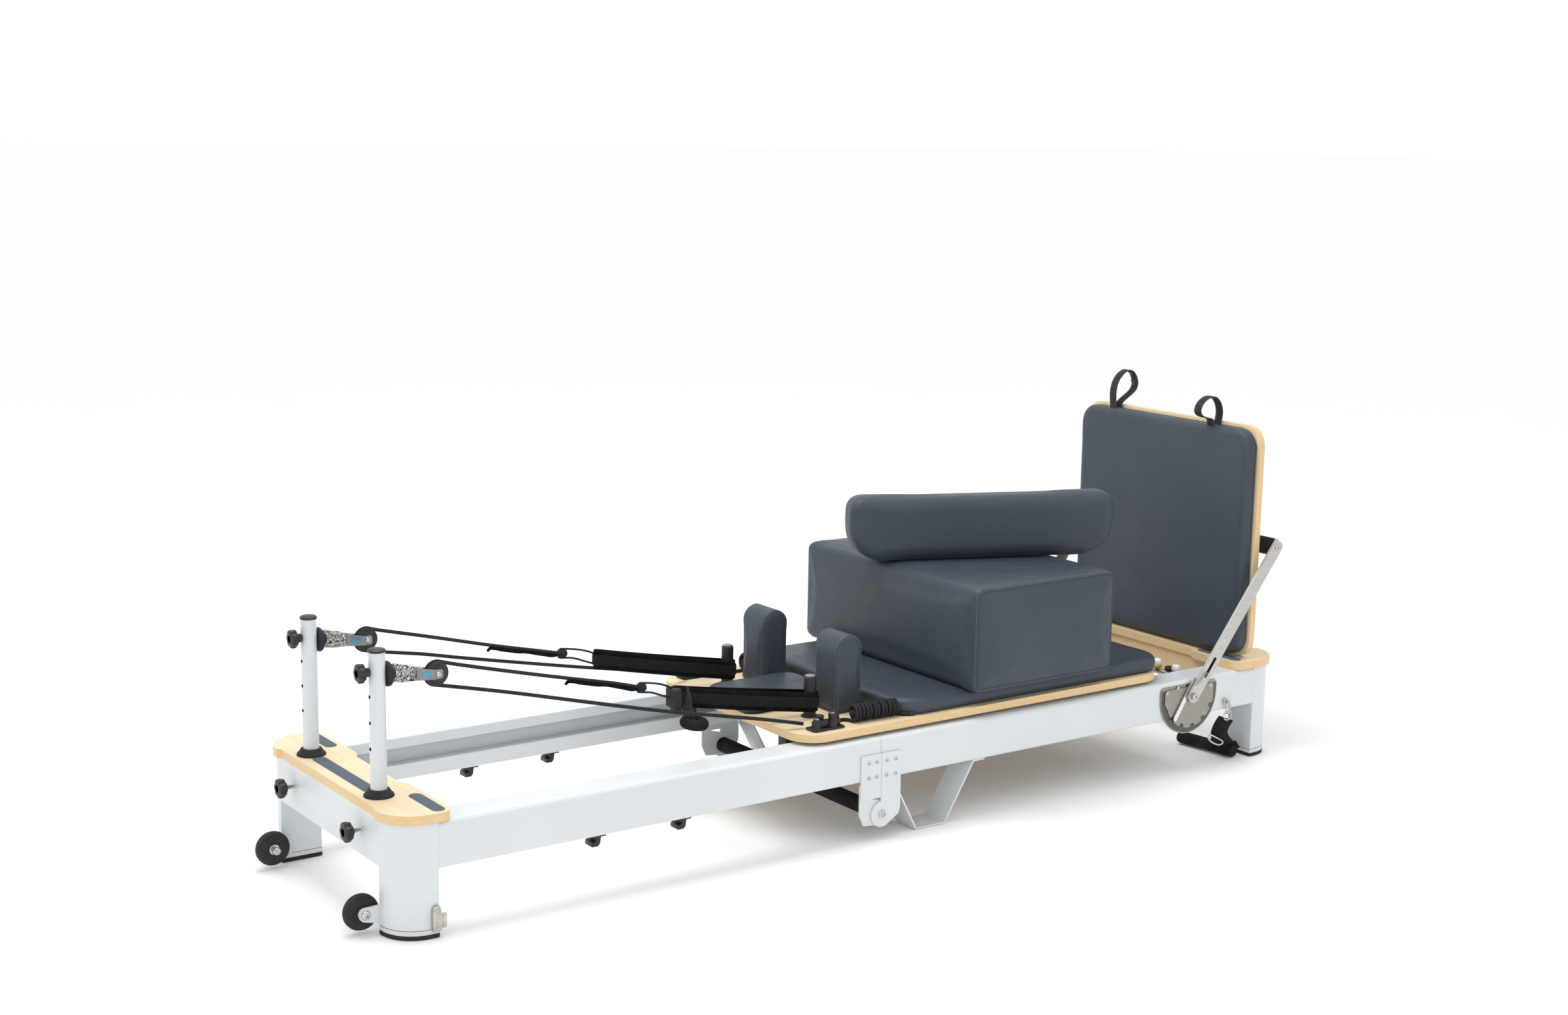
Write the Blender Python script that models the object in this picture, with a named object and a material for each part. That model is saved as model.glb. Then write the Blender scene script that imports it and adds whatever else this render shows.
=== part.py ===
"""A folding pilates reformer with its sitting box, bolster and jump board.

Metres, +Z up. X runs along the machine from the head end (-X) to the foot end (+X), and the origin is on
the floor at the middle of the whole machine. Left is the -Y side and right is the +Y side.
"""

import math

import bmesh
import bpy
from mathutils import Matrix, Vector

# Frame
HALF_WIDTH = 0.3275
HEAD_END = -1.2222
FOOT_END = 1.2822
LEG_LENGTH = 0.092
LEG_WIDTH = 0.080
LEG_RADIUS = 0.074
RAIL_BOTTOM = 0.141
RAIL_TOP = 0.2385
RAIL_WIDTH = 0.080
WALL = 0.004
TRACK_Z = 0.175
SLOT_TOP = 0.215
BEAM_DEPTH = 0.080
GAP = 0.0003

# Fold
PIVOT_X = -0.0215
PIVOT_Z = 0.060
SEAM_X = -0.026
LEAF_INNER = HALF_WIDTH + GAP
LEAF_OUTER = LEAF_INNER + 0.004
LOBE_RADIUS = 0.031
LIFTING_BAR_RADIUS = 0.019

# Platforms
PLATFORM_BOTTOM = RAIL_TOP + GAP
PLATFORM_TOP = 0.2588
PLATFORM_HALF = 0.3345

# Risers and pulleys
RISER_X = -1.183
RISER_Y = 0.169
RISER_RADIUS = 0.017
RISER_TOP = 0.5565
BORE_RADIUS = 0.0177
EYE_Z = 0.517
BEAM_KNOB_Z = 0.195
SHEAVE_X = -1.0535
SHEAVE_Z = 0.4955
ROPE_RADIUS = 0.004
WRAP_RADIUS = 0.0245

# Transport wheels
WHEEL_X = -1.253
WHEEL_Y = 0.226
WHEEL_Z = 0.045
WHEEL_RADIUS = 0.0375

# Carriage
BOARD_HEAD = -0.228
BOARD_FOOT = 0.888
BOARD_HALF = 0.311
BOARD_BOTTOM = 0.2465
BOARD_TOP = 0.2645
PAD_TOP = 0.3037
RUNNER_XS = (0.055, 0.820)
RUNNER_RADIUS = 0.019
RUNNER_Y = 0.2645
RUNNER_Z = TRACK_Z + RUNNER_RADIUS
PEG_X = -0.113
PEG_Y = 0.170

# Foot end
SPRING_BAR_X = 1.000
SPRING_Z = 0.222
BAR_PIVOT_X = 0.955
BAR_PIVOT_Z = 0.199
BAR_TOP_X = 1.2305
BAR_TOP_Z = 0.552
ARM_INNER = 0.3405
ARM_OUTER = 0.3465
QUADRANT_OUTER = 0.3338

SIDES = (("left", -1), ("right", 1))


def clear_scene():
    for obj in list(bpy.data.objects):
        bpy.data.objects.remove(obj, do_unlink=True)


def material(name, colour, roughness, metallic=0.0):
    made = bpy.data.materials.get(name)
    if made:
        return made
    made = bpy.data.materials.new(name)
    made.use_nodes = True
    shader = made.node_tree.nodes["Principled BSDF"]
    shader.inputs["Base Color"].default_value = (*colour, 1.0)
    shader.inputs["Roughness"].default_value = roughness
    shader.inputs["Metallic"].default_value = metallic
    made.diffuse_color = (*colour, 1.0)
    return made


def white_paint():
    return material("white_painted_aluminium", (0.80, 0.83, 0.85), 0.35)


def birch():
    return material("birch_plywood", (0.78, 0.58, 0.34), 0.5)


def leatherette():
    return material("grey_leatherette", (0.07, 0.085, 0.10), 0.55)


def black_plastic():
    return material("black_plastic", (0.015, 0.015, 0.017), 0.5)


def black_rubber():
    return material("black_rubber", (0.02, 0.02, 0.02), 0.8)


def black_foam():
    return material("black_foam", (0.02, 0.02, 0.022), 0.9)


def black_webbing():
    return material("black_webbing", (0.012, 0.012, 0.014), 0.85)


def rope_fibre():
    return material("black_rope", (0.014, 0.014, 0.016), 0.8)


def stainless():
    return material("stainless_steel", (0.55, 0.53, 0.50), 0.28, 1.0)


def add(name, mesh_data, finish, location=(0, 0, 0)):
    """Links a mesh as one named object, smooth where its faces nearly agree."""
    obj = bpy.data.objects.new(name, mesh_data)
    bpy.context.scene.collection.objects.link(obj)
    obj.location = location
    if finish:
        mesh_data.materials.append(finish)
    mesh_data.shade_smooth()
    mesh_data.set_sharp_from_angle(angle=math.radians(35))
    return obj


def finished(bm, name):
    bmesh.ops.remove_doubles(bm, verts=bm.verts, dist=1e-6)
    bmesh.ops.recalc_face_normals(bm, faces=bm.faces)
    mesh_data = bpy.data.meshes.new(name)
    bm.to_mesh(mesh_data)
    bm.free()
    return mesh_data


def placed(across, along, level, axis):
    """A point from its place along an axis and its two coordinates in the plane across that axis."""
    if axis == "X":
        return Vector((along, across, level))
    if axis == "Y":
        return Vector((across, along, level))
    return Vector((across, level, along))


def loft(name, layers):
    """A closed solid through rings of equal point counts, capped at its first and last ring."""
    bm = bmesh.new()
    rings = [[bm.verts.new(point) for point in layer] for layer in layers]
    count = len(rings[0])
    for lower, upper in zip(rings, rings[1:]):
        for i in range(count):
            j = (i + 1) % count
            bm.faces.new((lower[i], lower[j], upper[j], upper[i]))
    bm.faces.new(rings[0])
    bm.faces.new(rings[-1])
    return finished(bm, name)


def prism(name, outline, axis, start, end):
    """An outline in the plane across an axis, extruded along it from start to end."""
    return loft(name, [[placed(a, at, b, axis) for a, b in outline] for at in (start, end)])


def tube(name, outer, inner, axis, start, end):
    """An outline with a matching hole through it, extruded along an axis and open at both ends."""
    bm = bmesh.new()
    rings = [
        [bm.verts.new(placed(a, at, b, axis)) for a, b in outline]
        for outline, at in ((outer, start), (outer, end), (inner, end), (inner, start))
    ]
    count = len(outer)
    for first, second in zip(rings, rings[1:] + rings[:1]):
        for i in range(count):
            j = (i + 1) % count
            bm.faces.new((first[i], first[j], second[j], second[i]))
    return finished(bm, name)


def arc(centre, radius, start, end, steps):
    """Points of an arc, its angles in degrees."""
    angles = [math.radians(start + (end - start) * i / steps) for i in range(steps + 1)]
    return [(centre[0] + radius * math.cos(t), centre[1] + radius * math.sin(t)) for t in angles]


def circle(centre, radius, steps):
    return arc(centre, radius, 0, 360 * (steps - 1) / steps, steps - 1)


def rounded(corners, steps=4):
    """A polygon whose corners, given as (x, y, radius), are turned into arcs."""
    outline = []
    count = len(corners)
    for i, (x, y, radius) in enumerate(corners):
        here = Vector((x, y))
        if radius <= 0:
            outline.append((x, y))
            continue
        before = (Vector(corners[i - 1][:2]) - here).normalized()
        after = (Vector(corners[(i + 1) % count][:2]) - here).normalized()
        half = before.angle(after) / 2
        centre = here + (before + after).normalized() * radius / math.sin(half)
        reach = radius / math.tan(half)
        first = here + before * reach - centre
        last = here + after * reach - centre
        start = math.atan2(first.y, first.x)
        turn = (math.atan2(last.y, last.x) - start + math.pi) % (2 * math.pi) - math.pi
        for k in range(steps + 1):
            t = start + turn * k / steps
            outline.append((centre.x + radius * math.cos(t), centre.y + radius * math.sin(t)))
    return outline


def rectangle(x0, x1, y0, y1, radius=0.0, steps=4):
    return rounded([(x0, y0, radius), (x1, y0, radius), (x1, y1, radius), (x0, y1, radius)], steps)


def turned(name, profile, steps=24):
    """A closed profile of (radius, height) points, turned about Z."""
    bm = bmesh.new()
    rings = []
    for step in range(steps):
        t = 2 * math.pi * step / steps
        rings.append([bm.verts.new((r * math.cos(t), r * math.sin(t), h)) for r, h in profile])
    count = len(profile)
    for k in range(steps):
        first = rings[k]
        second = rings[(k + 1) % steps]
        for i in range(count):
            j = (i + 1) % count
            corners = [first[i], first[j], second[j], second[i]]
            bm.faces.new(corners)
    return finished(bm, name)


def rotated(mesh_data, degrees, axis):
    mesh_data.transform(Matrix.Rotation(math.radians(degrees), 4, axis))
    return mesh_data


def helper(name, mesh_data):
    """A hidden shape that a Boolean reads."""
    obj = bpy.data.objects.new(name, mesh_data)
    bpy.context.scene.collection.objects.link(obj)
    obj.hide_render = True
    obj.display_type = "WIRE"
    return obj


def combine(obj, operation, mesh_data):
    """Adds one Boolean step to an object."""
    modifier = obj.modifiers.new(operation.lower(), "BOOLEAN")
    modifier.operation = operation
    modifier.solver = "EXACT"
    modifier.object = helper(f"{obj.name}_{operation.lower()}_{len(obj.modifiers)}", mesh_data)


def block(name, x0, x1, y0, y1, z0, z1):
    return prism(name, rectangle(x0, x1, y0, y1), "Z", z0, z1)


def bar(name, axis, centre, radius, start, end, steps=16):
    return prism(name, circle(centre, radius, steps), axis, start, end)


# Frame halves


def rail_outline(side, inset=0.0):
    """The rail's section: an outer web, two flanges, and inner lips that leave the wheel track open."""
    out = HALF_WIDTH
    inn = HALF_WIDTH - RAIL_WIDTH
    corners = [
        (out, RAIL_BOTTOM, 0.006),
        (inn, RAIL_BOTTOM, 0.002),
        (inn, TRACK_Z, 0),
        (inn + 0.032, TRACK_Z, 0),
        (inn + 0.032, TRACK_Z - WALL, 0),
        (inn + WALL, TRACK_Z - WALL, 0),
        (inn + WALL, RAIL_BOTTOM + WALL, 0),
        (out - WALL, RAIL_BOTTOM + WALL, 0),
        (out - WALL, RAIL_TOP - WALL, 0),
        (inn + WALL, RAIL_TOP - WALL, 0),
        (inn + WALL, SLOT_TOP, 0),
        (inn, SLOT_TOP, 0),
        (inn, RAIL_TOP, 0.002),
        (out, RAIL_TOP, 0.010),
    ]
    return rounded([(side * y, z, r) for y, z, r in corners], 3)


def rails():
    spans = (
        ("head", HEAD_END + LEG_LENGTH + GAP, SEAM_X - 0.0005),
        ("foot", SEAM_X + 0.0005, FOOT_END - LEG_LENGTH - GAP),
    )
    for half, start, end in spans:
        for name, side in SIDES:
            mesh_data = prism("rail", rail_outline(side), "X", start, end)
            add(f"{half}_rail_{name}", mesh_data, white_paint())


def leg_outline(end_x, inward, side, inset):
    """The quarter-round leg in plan, moved in by inset. inward is +1 at the head end and -1 at the foot."""
    outer = end_x + inward * inset
    inner = end_x + inward * (LEG_LENGTH - inset)
    out = side * (HALF_WIDTH - inset)
    inn = side * (HALF_WIDTH - LEG_WIDTH + inset)
    corners = [(inner, inn, 0), (inner, out, 0), (outer, out, LEG_RADIUS - inset), (outer, inn, 0)]
    return rounded(corners, 8)


def end_frame(name, end_x, inward):
    """Two hollow legs and the cross beam between them, welded into one piece."""
    first = tube(name, leg_outline(end_x, inward, -1, 0), leg_outline(end_x, inward, -1, WALL), "Z", 0, RAIL_TOP)
    frame = add(name, first, white_paint())
    second = tube(name, leg_outline(end_x, inward, 1, 0), leg_outline(end_x, inward, 1, WALL), "Z", 0, RAIL_TOP)
    near, far = sorted((end_x, end_x + inward * BEAM_DEPTH))
    reach = HALF_WIDTH - LEG_WIDTH + WALL / 2
    outer = rectangle(near, far, RAIL_BOTTOM, RAIL_TOP)
    inner = rectangle(near + WALL, far - WALL, RAIL_BOTTOM + WALL, RAIL_TOP - WALL)
    beam = tube("beam", outer, inner, "Y", -reach, reach)
    combine(frame, "UNION", beam)
    combine(frame, "UNION", second)
    return frame


def frame_ends():
    head = end_frame("head_end_frame", HEAD_END, 1)
    for _, side in SIDES:
        bore = bar("bore", "Z", (RISER_X, side * RISER_Y), BORE_RADIUS, 0.10, 0.26, 24)
        combine(head, "DIFFERENCE", bore)
    for _, side in SIDES:
        combine(head, "UNION", wheel_tab(side))
        combine(head, "UNION", wheel_axle(side))
    foot = end_frame("foot_end_frame", FOOT_END, -1)
    for _, side in SIDES:
        drain = bar("drain", "Z", (FOOT_END - BEAM_DEPTH / 2, side * 0.18), 0.008, 0.12, 0.16)
        combine(foot, "DIFFERENCE", drain)


def wheel_tab(side):
    """The flat lug that holds one transport wheel beside the leg."""
    inner = HALF_WIDTH - LEG_WIDTH
    lug = rounded(
        [(WHEEL_X - 0.012, WHEEL_Z + 0.013, 0.012), (HEAD_END + 0.020, WHEEL_Z + 0.015, 0),
         (HEAD_END + 0.020, WHEEL_Z - 0.028, 0), (WHEEL_X - 0.012, WHEEL_Z - 0.012, 0.012)]
    )
    start, end = sorted((side * (inner - 0.0055), side * (inner + WALL / 2)))
    return prism("lug", lug, "Y", start, end)


def wheel_axle(side):
    inner = HALF_WIDTH - LEG_WIDTH
    start, end = sorted((side * (WHEEL_Y - 0.014), side * (inner - 0.003)))
    return bar("axle", "Y", (WHEEL_X, WHEEL_Z), 0.005, start, end, 12)


def platform_outline(outer, mid_outer, mid_inner, inner, step_y, corner):
    """Half-depth lobes at both ends of a narrower middle, in plan. outer and inner are X positions."""
    half = PLATFORM_HALF
    right = [
        (mid_inner, step_y, 0), (inner, step_y + 0.03, 0.01), (inner, half, 0.03),
        (outer, half, corner), (outer, half - 0.088, 0.004), (mid_outer, half - 0.098, 0),
    ]
    left = [(x, -y, r) for x, y, r in reversed(right)]
    return rounded(right + left, 6)


def platforms():
    head = prism(
        "head_platform",
        platform_outline(HEAD_END - 0.0083, HEAD_END - 0.0005, -1.109, -1.097, 0.10, 0.083),
        "Z", PLATFORM_BOTTOM, PLATFORM_TOP,
    )
    head = add("head_platform", head, birch())
    for _, side in SIDES:
        bore = bar("bore", "Z", (RISER_X, side * RISER_Y), BORE_RADIUS, 0.20, 0.30, 24)
        combine(head, "DIFFERENCE", bore)
    foot = prism(
        "foot_platform",
        platform_outline(FOOT_END + 0.0083, FOOT_END + 0.0005, 1.140, 1.120, 0.15, 0.083),
        "Z", PLATFORM_BOTTOM, PLATFORM_TOP,
    )
    foot = add("foot_platform", foot, birch())
    reach = HALF_WIDTH - RAIL_WIDTH - 0.001
    combine(foot, "UNION", block("panel", 1.147, 1.165, -reach, reach, 0.165, PLATFORM_BOTTOM + 0.002))


# Fold hinge


def fold_leaves():
    """On each side the foot leaf covers the pivot and the head leaf is set in behind it."""
    for name, side in SIDES:
        start, end = sorted((side * LEAF_INNER, side * LEAF_OUTER))
        right = PIVOT_X + 0.0515
        outline = [(SEAM_X + 0.0005, 0.203), (SEAM_X + 0.0005, PIVOT_Z + LOBE_RADIUS)]
        outline += arc((PIVOT_X, PIVOT_Z), LOBE_RADIUS, 98, 290, 12)
        outline += [(right - 0.004, PIVOT_Z - 0.006), (right, PIVOT_Z + 0.008), (right, 0.203)]
        leaf = add(f"fold_leaf_foot_{name}", prism("leaf", outline, "Y", start, end), white_paint())
        start, end = sorted((side * (LEAF_OUTER - 0.001), side * (LEAF_OUTER + 0.004)))
        combine(leaf, "UNION", bar("bolt", "Y", (PIVOT_X, PIVOT_Z), 0.010, start, end, 16))

        start, end = sorted((side * (LEAF_INNER - GAP), side * (LEAF_INNER - GAP - 0.004)))
        left = SEAM_X - 0.057
        lobe = [(left, 0.135), (left, PIVOT_Z + 0.004), (left + 0.012, PIVOT_Z - 0.022)]
        lobe += arc((PIVOT_X, PIVOT_Z), LOBE_RADIUS, 235, 450, 12)
        lobe += [(SEAM_X - 0.030, 0.100), (SEAM_X - 0.030, 0.135)]
        leaf = add(f"fold_leaf_head_{name}", prism("lobe", lobe, "Y", start, end), white_paint())
        top = prism("top", rectangle(left, SEAM_X - 0.0005, 0.100, 0.203), "Y",
                    *sorted((side * LEAF_INNER, side * LEAF_OUTER)))
        joggle = prism("joggle", rectangle(left + 0.001, SEAM_X - 0.031, 0.101, 0.134), "Y",
                       *sorted((side * (LEAF_INNER - 0.003), side * (LEAF_OUTER - 0.001))))
        combine(leaf, "UNION", joggle)
        combine(leaf, "UNION", top)


def middle_feet():
    """A bent strip under each foot-half rail that stands on the floor beside the hinge."""
    line = [(-0.022, RAIL_BOTTOM - GAP), (0.014, RAIL_BOTTOM - GAP), (0.088, WALL), (0.170, WALL),
            (0.254, RAIL_BOTTOM - GAP), (0.288, RAIL_BOTTOM - GAP)]
    under = [(0.288, RAIL_BOTTOM - GAP - WALL), (0.2562, RAIL_BOTTOM - GAP - WALL), (0.1725, 0.0),
             (0.0857, 0.0), (0.0115, RAIL_BOTTOM - GAP - WALL), (-0.022, RAIL_BOTTOM - GAP - WALL)]
    for name, side in SIDES:
        start, end = sorted((side * 0.2500, side * 0.3225))
        add(f"middle_foot_{name}", prism("foot", line + under, "Y", start, end), white_paint())


def lifting_bar():
    reach = LEAF_INNER - GAP - 0.004 - GAP
    grip = bar("lifting_bar", "Y", (PIVOT_X, PIVOT_Z), LIFTING_BAR_RADIUS, -reach, reach, 20)
    add("lifting_bar", grip, black_foam())


# Risers, knobs and pulleys


def star_outline(radius, lobes=7, steps=42):
    points = []
    for i in range(steps):
        t = 2 * math.pi * i / steps
        r = radius * (0.90 + 0.10 * math.cos(lobes * t))
        points.append((r * math.cos(t), r * math.sin(t)))
    return points


def star_knob(name, finish, place, radius, thickness, hub_radius, hub_end):
    """A star knob on an axis along X. Its star starts at place and its hub or stud reaches hub_end."""
    x, y, z = place
    star = prism("star", [(y + a, z + b) for a, b in star_outline(radius)], "X", x, x + thickness)
    knob = add(name, star, finish)
    combine(knob, "UNION", bar("hub", "X", (y, z), hub_radius, x + thickness / 2, hub_end, 14))


def risers():
    for name, side in SIDES:
        y = side * RISER_Y
        shell = turned("riser", [(0.0138, 0.150), (RISER_RADIUS, 0.150), (RISER_RADIUS, RISER_TOP),
                                 (0.0138, RISER_TOP)], 24)
        add(f"riser_{name}", shell, white_paint(), (RISER_X, y, 0))
        star_knob(f"riser_knob_{name}", black_plastic(), (-1.2265, y, EYE_Z), 0.0200, 0.012, 0.0095,
                  RISER_X - RISER_RADIUS - GAP)
        star_knob(f"beam_knob_{name}", black_plastic(), (-1.2625, y, BEAM_KNOB_Z), 0.0210, 0.014, 0.0055,
                  HEAD_END - GAP)


def pulleys():
    for name, side in SIDES:
        y = side * RISER_Y
        body = block("strap", -1.1655, -1.104, y - 0.005, y + 0.005, 0.489, 0.529)
        body.transform(Matrix.Identity(4))
        pulley = add(f"pulley_block_{name}", body, stainless())
        combine(pulley, "UNION", block("neck", -1.112, -1.084, y - 0.0108, y + 0.0108, 0.484, 0.512))
        for dy in (-0.0093, 0.0093):
            cheek = prism("cheek", rounded([(-1.090, 0.485, 0), (-1.046, 0.487, 0.008),
                                            (-1.046, 0.505, 0.008), (-1.090, 0.511, 0)]),
                          "Y", y + dy - 0.0015, y + dy + 0.0015)
            combine(pulley, "UNION", cheek)
        combine(pulley, "UNION", bar("axle", "Y", (SHEAVE_X, SHEAVE_Z), 0.003, y - 0.0095, y + 0.0095, 12))
        profile = [(0.0035, -0.0065), (0.0255, -0.0065), (0.0255, -0.0048), (0.0200, -0.0036),
                   (0.0200, 0.0036), (0.0255, 0.0048), (0.0255, 0.0065), (0.0035, 0.0065)]
        sheave = rotated(turned("sheave", profile, 24), 90, "X")
        add(f"pulley_sheave_{name}", sheave, black_plastic(), (SHEAVE_X, y, SHEAVE_Z))


# Ropes: each one runs from its strap loop over the sheave and back to the cleat on the carriage board.
ROPE_ROUTES = {
    "left": (
        [(-0.463, -0.112, 0.3605), (-0.534, -0.118, 0.3803), (-0.607, -0.126, 0.402),
         (-0.722, -0.138, 0.431), (-0.830, -0.149, 0.459), (-0.955, -0.162, 0.4927)],
        [(-0.92, -0.172, 0.440), (-0.84, -0.175, 0.4205), (-0.64, -0.185, 0.3705), (-0.50, -0.196, 0.338),
         (-0.40, -0.206, 0.318), (-0.28, -0.222, 0.295), (-0.185, -0.244, 0.2755)],
    ),
    "right": (
        [(-0.518, 0.134, 0.392), (-0.588, 0.138, 0.4095), (-0.66, 0.143, 0.4255), (-0.75, 0.149, 0.4455),
         (-0.83, 0.156, 0.465), (-0.914, 0.162, 0.4858)],
        [(-0.92, 0.172, 0.4445), (-0.83, 0.175, 0.4240), (-0.66, 0.183, 0.3870), (-0.50, 0.192, 0.3530),
         (-0.38, 0.205, 0.3280), (-0.28, 0.222, 0.3050), (-0.185, 0.244, 0.2775)],
    ),
}


def rope_points(name, side):
    upper, lower = ROPE_ROUTES[name]
    y = side * RISER_Y
    wrap = arc((SHEAVE_X, SHEAVE_Z), WRAP_RADIUS, 73, 257, 12)
    points = [Vector(p) for p in upper]
    points += [Vector((-1.022, y, 0.5116))]
    points += [Vector((x, y, z)) for x, z in wrap]
    points += [Vector((-1.022, y, 0.4634))]
    points += [Vector(p) for p in lower]
    return points


def ropes():
    for name, side in SIDES:
        line = rope_points(name, side)
        curve = bpy.data.curves.new(f"rope_{name}", "CURVE")
        curve.dimensions = "3D"
        curve.bevel_depth = ROPE_RADIUS
        curve.bevel_resolution = 2
        curve.use_fill_caps = True
        spline = curve.splines.new("POLY")
        spline.points.add(len(line) - 1)
        for point, place in zip(spline.points, line):
            point.co = (*place, 1)
        rope = bpy.data.objects.new(f"rope_{name}", curve)
        curve.materials.append(rope_fibre())
        bpy.context.scene.collection.objects.link(rope)


def transport_wheels():
    profile = [(0.0055, -0.0105), (0.032, -0.0105), (WHEEL_RADIUS, -0.006), (WHEEL_RADIUS, 0.006),
               (0.032, 0.0105), (0.0055, 0.0105)]
    for name, side in SIDES:
        wheel = rotated(turned("wheel", profile, 28), 90, "X")
        add(f"transport_wheel_{name}", wheel, black_rubber(), (WHEEL_X, side * WHEEL_Y, WHEEL_Z))


def transport_latch():
    """A flat toggle on the left head leg that hooks the other leg when the frame is folded."""
    lever = prism("latch", rectangle(-1.1400, -1.1220, 0.013, 0.064, 0.005, 3), "Y", -0.3353, -0.3283)
    add("transport_latch", lever, stainless())


# Carriage


def carriage_board():
    corners = [(BOARD_HEAD, -BOARD_HALF, 0.065), (BOARD_FOOT, -BOARD_HALF, 0.070),
               (BOARD_FOOT, BOARD_HALF, 0.070), (BOARD_HEAD, BOARD_HALF, 0.065)]
    board = prism("board", rounded(corners, 6), "Z", BOARD_BOTTOM, BOARD_TOP)
    add("carriage_board", board, birch())


def cushion(name, outline_of, bottom, top, edge, finish):
    """A pad with eased top and bottom edges. outline_of gives its plan outline for an inset."""
    steps = [(bottom, edge * 0.6), (bottom + edge * 0.5, 0.0), (top - edge, 0.0),
             (top - edge * 0.3, edge * 0.3), (top, edge)]
    layers = [[Vector((x, y, z)) for x, y in outline_of(inset)] for z, inset in steps]
    return add(name, loft(name, layers), finish)


def deck_pad():
    def outline(inset):
        head = 0.045 + inset
        foot = 0.904 - inset
        half = 0.304 - inset
        return rounded([(head, -half, 0.075), (foot, -half, 0.068), (foot, half, 0.068),
                        (head, half, 0.075)], 6)

    cushion("deck_pad", outline, BOARD_TOP + GAP, PAD_TOP, 0.010, leatherette())


def headrest():
    def outline(inset):
        return rectangle(-0.242 + inset, 0.026 - inset, -0.099 + inset, 0.099 - inset, 0.040, 5)

    cushion("headrest", outline, BOARD_TOP + GAP, 0.300, 0.010, leatherette())


def shoulder_rests():
    """Arch-topped blocks that stand on the board at either side of the headrest."""
    x0, x1, top = -0.056, 0.020, 0.450
    arch = [(x0, BOARD_TOP + GAP), (x1, BOARD_TOP + GAP)]
    arch += arc(((x0 + x1) / 2, top - 0.038), 0.038, 0, 180, 10)
    for name, side in SIDES:
        start, end = sorted((side * 0.104, side * 0.194))
        add(f"shoulder_rest_{name}", prism("rest", arch, "Y", start, end), leatherette())


def underframe():
    """Two long bars and three cross bars under the board, with a hanger and an axle for each wheel."""
    bottom = 0.2340
    top = BOARD_BOTTOM - GAP
    outer = block("underframe", -0.195, 0.880, -0.236, 0.236, bottom, top)
    frame = add("carriage_underframe", outer, black_plastic())
    for x0, x1 in ((-0.165, 0.290), (0.320, 0.500), (0.530, 0.850)):
        combine(frame, "DIFFERENCE", block("window", x0, x1, -0.211, 0.211, bottom - 0.01, top + 0.01))
    for x in RUNNER_XS:
        for _, side in SIDES:
            start, end = sorted((side * 0.230, side * 0.236))
            hanger = block("hanger", x - 0.018, x + 0.018, start, end, RUNNER_Z - 0.012, bottom + 0.004)
            combine(frame, "UNION", hanger)
            start, end = sorted((side * 0.233, side * (RUNNER_Y + 0.012)))
            combine(frame, "UNION", bar("axle", "Y", (x, RUNNER_Z), 0.004, start, end, 12))


def runners():
    """The four carriage wheels, which run on the track inside the rails."""
    profile = [(0.0045, -0.009), (0.017, -0.009), (RUNNER_RADIUS, -0.007), (RUNNER_RADIUS, 0.007),
               (0.017, 0.009), (0.0045, 0.009)]
    for end, x in zip(("head", "foot"), RUNNER_XS):
        for name, side in SIDES:
            wheel = rotated(turned("runner", profile, 20), 90, "X")
            add(f"carriage_wheel_{end}_{name}", wheel, black_rubber(), (x, side * RUNNER_Y, RUNNER_Z + GAP))


def strap_pegs():
    for name, side in SIDES:
        profile = [(0.0, 0.0), (0.0145, 0.0), (0.0145, 0.092), (0.0120, 0.0955), (0.0, 0.0955)]
        layers = [[Vector((r * math.cos(t), r * math.sin(t), h)) for t in
                   [2 * math.pi * i / 18 for i in range(18)]] for r, h in profile[1:4]]
        peg = loft("peg", layers)
        add(f"strap_peg_{name}", peg, black_plastic(), (PEG_X, side * PEG_Y, BOARD_TOP + GAP))


def strap_loops():
    """Wide straps that pass round the pegs and narrow to the end where the rope is tied."""
    ends = {"left": Vector((-0.437, -0.110, 0.345)), "right": Vector((-0.497, 0.133, 0.385))}
    for name, side in SIDES:
        start = Vector((PEG_X, side * PEG_Y, 0.3015))
        run = ends[name] - start
        length = math.hypot(run.x, run.y)
        angle = math.atan2(run.y, run.x)
        wide, narrow, thick, height = 0.0195, 0.010, 0.0035, 0.046
        outlines = []
        for inset in (0.0, thick):
            outline = arc((0, 0), wide - inset, -90, 90, 8)[::-1]
            outline = [(-a, b) for a, b in outline]
            outline += [(length + a, b) for a, b in arc((0, 0), narrow - inset, -90, 90, 6)]
            outlines.append(outline)
        bm = bmesh.new()
        rings = []
        for which, level in ((0, -0.5), (0, 0.5), (1, 0.5), (1, -0.5)):
            ring = []
            for a, b in outlines[which]:
                x = start.x + a * math.cos(angle) - b * math.sin(angle)
                y = start.y + a * math.sin(angle) + b * math.cos(angle)
                z = start.z + run.z * max(a, 0) / length + level * height
                ring.append(bm.verts.new((x, y, z)))
            rings.append(ring)
        count = len(outlines[0])
        for first, second in zip(rings, rings[1:] + rings[:1]):
            for i in range(count):
                j = (i + 1) % count
                bm.faces.new((first[i], first[j], second[j], second[i]))
        add(f"strap_loop_{name}", finished(bm, "loop"), black_webbing())


def sitting_box():
    def outline(inset):
        return rectangle(0.237 + inset, 0.676 - inset, -0.3425 + inset, 0.3425 - inset, 0.014, 3)

    cushion("sitting_box", outline, PAD_TOP + GAP, 0.556, 0.016, leatherette())


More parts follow.
